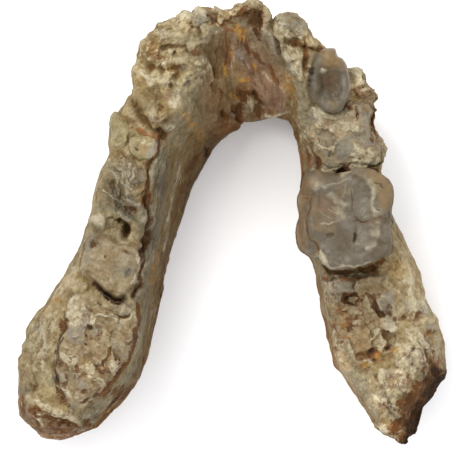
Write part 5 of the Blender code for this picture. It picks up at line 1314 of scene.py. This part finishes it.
def tooth_object(name):
    """The mesh of one tooth: rings up the side along a smooth profile, then in over the top to its middle."""
    crown, stump = CROWNS.get(name), STUMPS.get(name)
    points, top_rings = (crown.points, crown.rings) if crown else STUMP_MESH
    outline = smooth_outline(name, points)
    middle = outline.mean(axis=0)
    if stump:
        away = outline - middle
        outline = outline + GROWN * away / np.linalg.norm(away, axis=1, keepdims=True)
    side = crown.side if crown else STUMP_SIDE + [stump.top, 0]
    profile = spline(side, np.linspace(0, len(side) - 1, SIDE_RINGS))
    rim = profile[-1, 1]
    side = middle + (outline - middle)[None] * profile[:, 1][:, None, None]
    side = np.concatenate([side, np.broadcast_to(profile[:, :1, None], (SIDE_RINGS, points, 1))], axis=2)
    steps = np.linspace(0, 1, top_rings + 1)[1:]
    inner = rim * (1 - steps**TOP_CROWDING * (1 - TOP_HOLE))
    top = middle + (outline - middle)[None] * inner[:, None, None]
    share = np.repeat(inner / rim, points)
    x, y = top.reshape(-1, 2).T
    depth = -outline_distance(x, y, outline[::4])
    level, *facts, stains = tooth_height(name, x, y, share, depth)
    top = np.concatenate([top, level.reshape(top_rings, points, 1)], axis=2)
    climb = ease(np.linspace(0, 1, SIDE_RINGS), 0.45, 1.0)[:, None]
    side[..., 2] += climb * (top[0, :, 2] - profile[-1, 0]) * 0.9
    grid = np.concatenate([side, top])
    flat = grid.reshape(-1, 3) * [1, 1, 0]
    for axis in (0, 1):
        ragged = (CROWN_RAGGED if crown else STUMP_RAGGED) * layered(flat, size=1.3, seed=310 + axis)
        grid[..., axis] += ragged.reshape(grid.shape[:2])
    normal = outward_normals(grid)
    swell = 0.07 * layered(grid.reshape(-1, 3), size=1.6, seed=300).reshape(grid.shape[:2])
    grid[:SIDE_RINGS] += (normal * swell[..., None])[:SIDE_RINGS]
    up = ease(normal[..., 2], -0.1, 0.3)
    values = stain_and_painted_light_values(grid, up, CROWN_STAIN_POWER if crown else STUMP_STAIN_POWER)
    for word, value in stains.items():
        values[word][SIDE_RINGS:] = np.maximum(values[word][SIDE_RINGS:], value.reshape(top_rings, points))
    relief, block = (np.append(np.zeros(SIDE_RINGS * points), fact).reshape(-1, points) for fact in facts)
    values["hollow"] = hollows(relief)
    values["block"] = block
    below = (crown or stump).top - grid[..., 2]
    values["wall"] = ease(below, *(CROWN_WALL if crown else STUMP_WALL))
    return grid_mesh(name + "_look", grid, values)


tooth_objects = {name: tooth_object(name) for name in TEETH}
print("vertices:", {name: len(obj.data.vertices) for name, obj in tooth_objects.items()})

# %% [markdown]
# ## Finishes: parts that several materials share
# Bone, roots, crumbled crowns and enamel differ in colour and gloss, but the same earth stained them.
# Stains, with painted shade in hollows and painted highlights on ridges, and fine grain are node groups
# with named inputs, so each material sets its own strengths.

# %% A small helper for node trees
class Tree:
    """Adds nodes to a tree and links their inputs: a value is set, and an output socket is linked."""

    def __init__(self, tree):
        self.tree = tree

    def link(self, output, to):
        self.tree.links.new(output, to)

    def add(self, kind, inputs=None, **settings):
        node = self.tree.nodes.new(kind)
        for key, value in settings.items():
            setattr(node, key, value)
        for key, value in (inputs or {}).items():
            if isinstance(value, bpy.types.NodeSocket):
                self.link(value, node.inputs[key])
            else:
                node.inputs[key].default_value = value
        return node

    def placed(self, made, inputs):
        """One use of a finished group."""
        return self.add("ShaderNodeGroup", inputs, node_tree=made)

    def math(self, operation, a, b):
        return self.add("ShaderNodeMath", {0: a, 1: b}, operation=operation).outputs[0]

    def times(self, a, b):
        return self.math("MULTIPLY", a, b)

    def plus(self, a, b):
        return self.math("ADD", a, b)

    def minus(self, a, b):
        return self.math("SUBTRACT", a, b)

    def ramp(self, value, low, high, start=0.0, end=1.0):
        """A smooth step from the start, where the value is low, to the end, where it is high."""
        inputs = {"Value": value, "From Min": low, "From Max": high, "To Min": start, "To Max": end}
        return self.add("ShaderNodeMapRange", inputs, interpolation_type="SMOOTHSTEP").outputs["Result"]

    def mix(self, factor, a, b, blend="MIX"):
        """The colour b laid over the colour a."""
        inputs = {0: factor, 6: a, 7: b}
        return self.add("ShaderNodeMix", inputs, data_type="RGBA", blend_type=blend).outputs[2]

    def between(self, factor, a, b):
        """A place between two others."""
        return self.add("ShaderNodeMix", {0: factor, 4: a, 5: b}, data_type="VECTOR").outputs[1]

    def vector(self, operation, inputs):
        return self.add("ShaderNodeVectorMath", inputs, operation=operation).outputs["Vector"]

    def noise(self, vector, scale, detail=4.0, roughness=0.6):
        inputs = {"Vector": vector, "Scale": scale, "Detail": detail, "Roughness": roughness}
        return self.add("ShaderNodeTexNoise", inputs).outputs["Fac"]

    def value_of(self, name):
        """One of the numbers that the mesh carries."""
        return self.add("ShaderNodeAttribute", attribute_name=name, attribute_type="GEOMETRY").outputs["Fac"]


def group(name, inputs, outputs):
    """An empty node group with named sockets, its Tree, and its inputs and outputs by name.

    An input given as None is a place, one with four numbers is a colour, and the rest are numbers. An output
    called Color is a colour; the others are numbers.
    """
    made = bpy.data.node_groups.new(name, "ShaderNodeTree")
    for word, value in inputs.items():
        kind = "Vector" if value is None else "Color" if isinstance(value, tuple) else "Float"
        socket = made.interface.new_socket(word, in_out="INPUT", socket_type="NodeSocket" + kind)
        if value is not None:
            socket.default_value = value
    for word in outputs:
        kind = "Color" if word == "Color" else "Float"
        made.interface.new_socket(word, in_out="OUTPUT", socket_type="NodeSocket" + kind)
    tree = Tree(made)
    return made, tree, tree.add("NodeGroupInput").outputs, tree.add("NodeGroupOutput").inputs


LIGHT_LEVEL = 2.05


def colour(red, green, blue):
    """A colour as it looks on a screen under these lamps, from 0 to 255, as linear numbers for shaders."""
    return tuple(((c / 255 + 0.055) / 1.055) ** 2.4 / LIGHT_LEVEL for c in (red, green, blue)) + (1.0,)


print("cream bone as linear numbers:", [round(c, 3) for c in colour(186, 172, 136)])

# %% [markdown]
# ## Frayed stains
# A stain that ends in a clean line looks painted. This group adds fine noise to a mask before it is cut, so
# the edge breaks into specks, as where earth clings to a rough surface.

# %% Group: frayed mask
frayed, tree, given, result = group(
    "frayed_mask",
    {"Mask": 0.0, "Vector": None, "Fray": 0.5, "Scale": 1800.0, "Soft": 0.0},
    ["Mask"],
)
broad = tree.times(given["Scale"], 0.4)
speckle = tree.ramp(tree.noise(given["Vector"], given["Scale"], 5.0, 0.7), 0.3, 0.7, -0.4, 0.4)
blotch = tree.ramp(tree.noise(given["Vector"], broad, 3.0, 0.6), 0.32, 0.68, -0.32, 0.32)
uneven = tree.times(tree.plus(speckle, blotch), given["Fray"])
torn = tree.plus(given["Mask"], uneven)
weak = tree.ramp(given["Mask"], 0.02, 0.3)
soft = tree.times(given["Soft"], 0.2)
cut = tree.ramp(torn, tree.minus(0.15, soft), tree.plus(0.8, soft))
tree.link(tree.times(cut, weak), result["Mask"])
print("frayed_mask has", len(frayed.nodes), "nodes")

# %% [markdown]
# ## Earth stains, painted shade and painted highlights
# The stains are laid over the clean colour one after the other, from the broad and faint ones to the dark
# ones. Where the surface is hollow the colour is darkened towards brown as painted shade, and ridges are
# made pale as painted highlights. Dirt also gathers by itself wherever the surface is hollow, and edges are
# rubbed pale.

# %% Group: earth stains, painted shade and painted highlights
# umber, brown and pale also colour the few painted shadows and painted highlights among the marks.
STAIN_AND_PAINTED_LIGHT_COLOURS = [
    ("olive", colour(106, 90, 56), 0.7, 0.7, 900.0),
    ("tan", colour(158, 130, 88), 0.75, 0.7, 900.0),
    ("pink", colour(144, 114, 92), 0.7, 0.7, 1100.0),
    ("grey", colour(150, 143, 128), 0.75, 0.7, 1300.0),
    ("pale", colour(214, 202, 170), 0.85, 0.8, 1500.0),
    ("ochre", colour(190, 138, 60), 0.8, 0.9, 1200.0),
    ("rust", colour(150, 92, 50), 0.8, 0.9, 1200.0),
    ("brown", colour(96, 62, 34), 0.95, 0.9, 1300.0),
    ("umber", colour(56, 38, 22), 0.95, 0.7, 1100.0),
    ("black", colour(44, 42, 40), 0.85, 0.4, 2600.0),
]


def fibre_place(tree, where, stretch, squeeze):
    """Coordinates that run along the fibres and, squeezed, across them. On the ramp, a ray and its turn."""
    height = tree.add("ShaderNodeSeparateXYZ", {0: where}).outputs["Z"]
    on_arm = tree.add("ShaderNodeCombineXYZ", {
        0: tree.times(tree.value_of("along"), stretch),
        1: tree.times(tree.value_of("across"), squeeze),
        2: tree.times(tree.times(height, 1 / MM), squeeze),
    }).outputs[0]
    on_ramp = tree.add("ShaderNodeCombineXYZ", {
        0: tree.times(tree.value_of("ray"), stretch),
        1: tree.times(tree.value_of("turn"), squeeze),
    }).outputs[0]
    return tree.between(tree.value_of("ramp"), on_arm, on_ramp)


stained, tree, given, result = group(
    "earth_stains_and_painted_light",
    {"Color": (0.5, 0.5, 0.5, 1.0), "Vector": None, "Strength": 1.0, "Hollow Shade": 1.0, "Fray": 1.0,
     "Soft": 0.0, "Edge Highlight": 0.5, "Hollow Shade Color": colour(108, 80, 46)},
    ["Color", "Earth And Hollow Shade"],
)
plain = given["Vector"]
stretched = tree.vector("SCALE", {0: fibre_place(tree, plain, 0.25, 1.3), "Scale": MM})
where = tree.between(tree.value_of("inner"), plain, stretched)
shade = given["Color"]
hollow = tree.value_of("hollow")
# Painted highlight: ridges, which stand above their surroundings, are made pale cream.
edge = tree.ramp(hollow, -0.04, -0.35)
shade = tree.mix(tree.times(edge, given["Edge Highlight"]), shade, colour(204, 191, 158))
for word, tint, strength, fray, scale in STAIN_AND_PAINTED_LIGHT_COLOURS:
    fray = tree.times(given["Fray"], fray)
    mask = {"Mask": tree.value_of(word), "Vector": where, "Fray": fray, "Scale": scale, "Soft": given["Soft"]}
    mask = tree.placed(frayed, mask).outputs["Mask"]
    amount = tree.times(mask, tree.times(given["Strength"], strength))
    if word == "brown":
        earth = amount
        tint = tree.mix(tree.ramp(tree.noise(where, 700.0), 0.42, 0.62), tint, colour(122, 80, 42))
    shade = tree.mix(amount, shade, tint)
# Painted shade: where the surface is hollow, the colour is darkened towards a brown, broken up by noise.
uneven = tree.times(tree.minus(tree.noise(where, 1400.0, 5.0, 0.7), 0.5), 0.4)
dirt = tree.times(tree.ramp(tree.plus(hollow, uneven), 0.05, 0.5), given["Hollow Shade"])
shade = tree.mix(tree.math("MINIMUM", dirt, 1.0), shade, given["Hollow Shade Color"])
tree.link(shade, result["Color"])
# Brown earth and the painted hollow shade together make the surface rougher.
tree.link(tree.math("MAXIMUM", earth, dirt), result["Earth And Hollow Shade"])
print("earth_stains_and_painted_light has", len(stained.nodes), "nodes")

# %% [markdown]
# ## Grain
# Close up, old bone is a mix of fine speckle, open pores and hairline cracks. The group gives a factor that
# darkens and lightens the colour, and a height for the bump.

# %% Group: bone grain
grain, tree, given, result = group(
    "bone_grain",
    {"Vector": None, "Pores": 1.0, "Cracks": 1.0},
    ["Tone", "Height", "Patch"],
)
where = given["Vector"]
patch = tree.times(tree.noise(where, 280.0, 4.0, 0.6), 0.6)
patch = tree.plus(patch, tree.times(tree.noise(where, 1000.0, 4.0, 0.65), 0.4))
fine = tree.noise(where, 1900.0, 6.0, 0.72)
pores = tree.add("ShaderNodeTexVoronoi", {"Vector": where, "Scale": 1500.0, "Randomness": 1.0}, feature="F1")
pore = tree.ramp(pores.outputs["Distance"], 0.3, 0.08)
pore = tree.times(pore, tree.ramp(tree.noise(where, 420.0, 2.0, 0.5), 0.45, 0.7))
pore = tree.times(pore, given["Pores"])
bend = tree.add("ShaderNodeTexNoise", {"Vector": where, "Scale": 500.0, "Detail": 3.0}).outputs["Color"]
bend = tree.vector("SCALE", {0: bend, "Scale": 0.0016})
bent_where = tree.vector("ADD", {0: where, 1: bend})
cracks = tree.add("ShaderNodeTexVoronoi", {"Vector": bent_where, "Scale": 210.0}, feature="DISTANCE_TO_EDGE")
crack = tree.ramp(cracks.outputs["Distance"], 0.014, 0.0)
crack = tree.times(crack, tree.ramp(tree.noise(where, 150.0, 2.0, 0.5), 0.52, 0.64))
crack = tree.times(crack, given["Cracks"])
tone = tree.ramp(fine, 0.25, 0.75, 0.7, 1.26)
tone = tree.times(tone, tree.minus(1.0, tree.times(pore, 0.5)))
tone = tree.times(tone, tree.minus(1.0, tree.times(crack, 0.5)))
height = tree.plus(tree.times(pore, 0.9), tree.times(crack, 0.8))
tree.link(tone, result["Tone"])
tree.link(tree.minus(fine, height), result["Height"])
tree.link(patch, result["Patch"])
print("bone_grain has", len(grain.nodes), "nodes")

# %% [markdown]
# ## Streaks along the fibres
# The inner wall shows the fibres of the bone as long streaks. Noise that is squeezed across the fibres and
# stretched along them looks like that. On the ramp behind the chin the streaks fan out.

# %% Group: fibre streaks
fibres, tree, given, result = group(
    "fibre_streaks",
    {"Vector": None, "Stretch": 0.16, "Squeeze": 2.2},
    ["Streak", "Broad"],
)
place = fibre_place(tree, given["Vector"], given["Stretch"], given["Squeeze"])
streak = tree.minus(tree.noise(place, 1.0, 5.0, 0.65), 0.5)
calm = tree.minus(1.0, tree.times(tree.value_of("ramp"), 0.65))
tree.link(tree.plus(tree.times(streak, calm), 0.5), result["Streak"])
wide = tree.vector("MULTIPLY", {0: place, 1: (0.9, 0.32, 0.32)})
tree.link(tree.noise(wide, 1.0, 3.0, 0.6), result["Broad"])
print("fibre_streaks has", len(fibres.nodes), "nodes")

# %% [markdown]
# ## The four finishes
# Bone is matt and sandy. Dentine, of which the roots and crumbled crowns are made, is a little waxy. Enamel
# is glassier. Each starts from four shades that its patches move between, and then takes the shared grain
# and stains. Broken blocks differ a little in shade from their neighbours.


# %% Materials
PATCH_LEVELS = (0.41, 0.49, 0.575)
PATCH_EDGE = 0.05
BUMP_DEPTH = 0.2 * MM
COAT_ROUGHNESS = 0.25
COMMON = {"cracks": 0.2, "stains": 1.0, "fibres": 0.0, "fray": 1.0, "soft": 0.0, "wall": 0.4, "coat": 0.05}


def inner_wall(tree, look, where, shade, tone, height):
    """The inner wall: pale above, ochre below, with streaks that swing its tone and height, and low brown."""
    streaks = tree.placed(fibres, {"Vector": where, "Stretch": 0.16, "Squeeze": 2.2})
    streak, broad = streaks.outputs["Streak"], streaks.outputs["Broad"]
    inner = tree.times(tree.value_of("inner"), look["fibres"])
    depth = tree.value_of("depth")
    wall = tree.mix(depth, look["inner_top"], look["inner_low"])
    wall = tree.mix(tree.times(tree.value_of("ramp"), 0.8), wall, look["ramp_color"])
    shade = tree.mix(tree.times(inner, 0.72), shade, wall)
    browner = tree.plus(broad, tree.times(depth, 0.1))
    for full, strength, word in ((0.7, 0.5, "inner_brown"), (0.36, 0.42, "inner_pale")):
        stripe = tree.times(tree.ramp(browner, 0.5, full), inner)
        shade = tree.mix(tree.times(stripe, strength), shade, look[word])
    reach = tree.math("MAXIMUM", inner, tree.times(tree.value_of("wall"), 0.45))
    swing = tree.times(tree.ramp(streak, 0.34, 0.66, -0.16, 0.16), reach)
    tone = tree.times(tone, tree.plus(1.0, swing))
    height = tree.plus(height, tree.times(tree.times(streak, 0.6), reach))
    low = tree.times(tree.ramp(depth, 0.62, 0.85), inner)
    patchy = tree.ramp(tree.noise(where, 330.0, 5.0, 0.7), 0.45, 0.53)
    return tree.mix(tree.times(tree.times(low, patchy), 0.9), shade, look["low_brown"]), tone, height


def finish(name, roughness, shades, **own):
    """One material: four shades by patches and specks, under the grain's tone, the stains and the painted
    light and shade.

    What is not given is taken from the common look. Colours are given as on a screen.
    """
    look = {word: colour(*it) if isinstance(it, tuple) else it for word, it in {**COMMON, **own}.items()}
    shades = [colour(*it) for it in shades]
    made = bpy.data.materials.new(name)
    made.use_nodes = True
    tree = Tree(made.node_tree)
    shader = made.node_tree.nodes["Principled BSDF"]
    where = tree.add("ShaderNodeTexCoord").outputs["Object"]
    speck = tree.placed(grain, {"Vector": where, "Pores": look["pores"], "Cracks": look["cracks"]})
    patch = speck.outputs["Patch"]
    shade = shades[0]
    for level, next_shade in zip(PATCH_LEVELS, shades[1:]):
        shade = tree.mix(tree.ramp(patch, level - PATCH_EDGE, level + PATCH_EDGE), shade, next_shade)
    block = tree.value_of("block")
    for low, high, word in ((0.06, 0.4, "block_light"), (-0.06, -0.4, "block_dark")):
        shade = tree.mix(tree.times(tree.ramp(block, low, high), look["blocks"]), shade, look[word])
    for scale, low, high, word in ((1150.0, 0.56, 0.68, "speck_rust"), (760.0, 0.42, 0.32, "speck_grey")):
        specks = tree.times(tree.ramp(tree.noise(where, scale, 5.0, 0.7), low, high), look["specks"])
        shade = tree.mix(specks, shade, look[word])
    shade = tree.mix(tree.times(tree.value_of("wall"), look["wall"]), shade, look["wall_color"])
    tone, height = speck.outputs["Tone"], speck.outputs["Height"]
    if look["fibres"]:
        shade, tone, height = inner_wall(tree, look, where, shade, tone, height)
    stains = tree.placed(
        stained,
        {"Color": shade, "Vector": where, "Strength": look["stains"], "Hollow Shade": look["dirt"],
         "Hollow Shade Color": look["dirt_color"], "Fray": look["fray"], "Soft": look["soft"],
         "Edge Highlight": look["edge"]},
    )
    tone = tree.times(tree.minus(tone, 1.0), look["tone"])
    # The mesh's light factor carries the paler and duller patches and the painted light and shade.
    light = tree.times(tree.plus(tone, 1.0), tree.value_of("light"))
    light = tree.add("ShaderNodeCombineColor", {0: light, 1: light, 2: light}).outputs["Color"]
    tree.link(tree.mix(1.0, stains.outputs["Color"], light, "MULTIPLY"), shader.inputs["Base Color"])
    rough = tree.plus(roughness, tree.times(stains.outputs["Earth And Hollow Shade"], 0.25))
    tree.link(rough, shader.inputs["Roughness"])
    raised = tree.add("ShaderNodeBump", {"Height": height, "Strength": look["bump"], "Distance": BUMP_DEPTH})
    tree.link(raised.outputs["Normal"], shader.inputs["Normal"])
    shader.inputs["Specular IOR Level"].default_value = look["shine"]
    shader.inputs["Coat Weight"].default_value = look["coat"]
    shader.inputs["Coat Roughness"].default_value = COAT_ROUGHNESS
    return made


# In each finish, edge sets the painted highlights on ridges, and the hollow strength and its colour set the
# painted shade in hollows.
BONE = finish(
    "weathered_bone", 0.6, [(118, 92, 54), (148, 126, 86), (176, 158, 118), (202, 187, 150)],
    pores=1.0, cracks=0.6, tone=1.0, shine=0.04, coat=0.0, bump=0.6, edge=0.45,
    dirt=0.7, dirt_color=(104, 76, 44), blocks=0.6, block_light=(200, 186, 148), block_dark=(126, 100, 62),
    specks=0.5, speck_rust=(146, 100, 54), speck_grey=(158, 150, 132), wall=0.25, wall_color=(140, 114, 72),
    fibres=1.0, inner_top=(137, 128, 104), inner_low=(144, 112, 58), inner_brown=(130, 100, 56),
    inner_pale=(166, 155, 130), ramp_color=(150, 120, 90), low_brown=(122, 82, 47),
)
DENTINE = finish(
    "root_dentine", 0.42, [(132, 114, 74), (152, 136, 94), (168, 153, 110), (180, 167, 128)],
    pores=0.4, cracks=0.3, tone=0.7, shine=0.2, bump=0.35, edge=0.3, fray=0.8,
    dirt=0.8, dirt_color=(112, 82, 46), blocks=0.4, block_light=(186, 174, 138), block_dark=(118, 102, 66),
    specks=0.3, speck_rust=(144, 106, 58), speck_grey=(148, 144, 128), wall_color=(136, 114, 72),
)
CRUMBLED_CROWN = finish(
    "crumbled_crown", 0.5, [(128, 102, 64), (150, 129, 92), (170, 151, 115), (190, 174, 140)],
    pores=0.6, tone=0.9, shine=0.14, bump=0.5, edge=0.8,
    dirt=0.8, dirt_color=(122, 86, 46), blocks=0.8, block_light=(194, 180, 146), block_dark=(132, 108, 72),
    specks=0.45, speck_rust=(152, 106, 58), speck_grey=(154, 147, 130), wall_color=(126, 100, 62),
)
ENAMEL = finish(
    "worn_enamel", 0.4, [(102, 88, 65), (114, 100, 78), (123, 111, 92), (134, 125, 108)],
    pores=0.15, tone=0.55, shine=0.2, coat=0.0, bump=0.1, edge=0.1, stains=1.1, fray=0.4, soft=1.0,
    dirt=0.4, dirt_color=(104, 84, 58), blocks=0.0, block_light=(190, 180, 156), block_dark=(110, 98, 80),
    specks=0.15, speck_rust=(134, 108, 78), speck_grey=(142, 138, 128), wall=0.75, wall_color=(156, 134, 102),
)
print("materials:", [m.name for m in (BONE, DENTINE, CRUMBLED_CROWN, ENAMEL)])

# %% [markdown]
# ## Putting the pieces in the frame
# Every piece rides on the one body of the model and stands for its plain solid. Crowns are enamel. Stumps
# are dentine, more crumbled at the molars than at the clean snapped roots of the premolar.

# %% Finish and body of each piece
bone_object.data.materials.append(BONE)
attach(bone_object, "root")
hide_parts("jaw_bone")
for name, obj in tooth_objects.items():
    if name in CROWNS:
        surface, slot = ENAMEL, "enamel"
    else:
        surface = DENTINE if "premolar" in name else CRUMBLED_CROWN
        slot = "root" if name.endswith("root") else "broken_crown"
    obj.data.materials.append(surface)
    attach(obj, "root")
    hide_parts(name)
print(len(tooth_objects) + 1, "pieces ride on the root")

# %% [markdown]
# ## Floor, light and camera
# The jaw lies on a plain white table. One broad lamp stands at the upper left, and the rest of the light
# comes from all round, so the shadows are soft. The camera looks straight down from far away with a long
# lens.

# %% Floor
FLOOR_HALF = 2.0
TABLE_WHITE = (0.9, 0.9, 0.9, 1)
TABLE_ROUGHNESS = 0.9
corners = [(FLOOR_HALF * x, FLOOR_HALF * y, 0) for x, y in ((-1, -1), (1, -1), (1, 1), (-1, 1))]
floor_mesh = bpy.data.meshes.new("floor")
floor_mesh.from_pydata(corners, [], [(0, 1, 2, 3)])
floor = add_object("floor", floor_mesh)
paper = bpy.data.materials.new("white_table")
paper.use_nodes = True
paper.node_tree.nodes["Principled BSDF"].inputs["Base Color"].default_value = TABLE_WHITE
paper.node_tree.nodes["Principled BSDF"].inputs["Roughness"].default_value = TABLE_ROUGHNESS
floor.data.materials.append(paper)
print("the table is", 2 * FLOOR_HALF, "m wide")

# %% Light
JAW_MIDDLE = (0, 0, 0.015)
world = bpy.data.worlds.new("room")
world.use_nodes = True
world.node_tree.nodes["Background"].inputs["Color"].default_value = (0.98, 0.98, 1.0, 1)
world.node_tree.nodes["Background"].inputs["Strength"].default_value = 1.4
bpy.context.scene.world = world


def lamp(name, place, size, power, tint):
    """A square area light that looks at the middle of the jaw."""
    data = bpy.data.lights.new(name, "AREA")
    data.size = size
    data.energy = power
    data.color = tint
    obj = add_object(name, data)
    obj.location = place
    back = np.subtract(place, JAW_MIDDLE)
    back = back / np.linalg.norm(back)
    obj.rotation_euler = (math.acos(back[2]), 0, math.atan2(back[1], back[0]) + math.pi / 2)
    return obj


window = lamp("window_light", (-0.32, 0.36, 0.7), 0.4, 5.6, (1.0, 0.98, 0.95))
fill = lamp("fill_light", (0.45, -0.15, 0.8), 0.6, 1.4, (0.98, 0.99, 1.0))
print("lamps in W:", window.data.energy, fill.data.energy)

# %% Camera
PHOTO_PIXELS = 465
PIXELS_PER_MM = 7
SENSOR = 36.0
camera_data = bpy.data.cameras.new("camera")
camera_data.sensor_width = SENSOR
camera_data.lens = SENSOR * (CAMERA_Z - TOOTH_PLANE) * PIXELS_PER_MM / PHOTO_PIXELS
camera_data.clip_start = 0.05
camera_data.clip_end = 20.0
camera = add_object("camera", camera_data)
camera.location = (CAMERA_X * MM, CAMERA_Y * MM, CAMERA_Z * MM)
bpy.context.scene.camera = camera
bpy.context.scene.view_settings.view_transform = "Standard"
print("lens:", round(camera_data.lens), "mm")
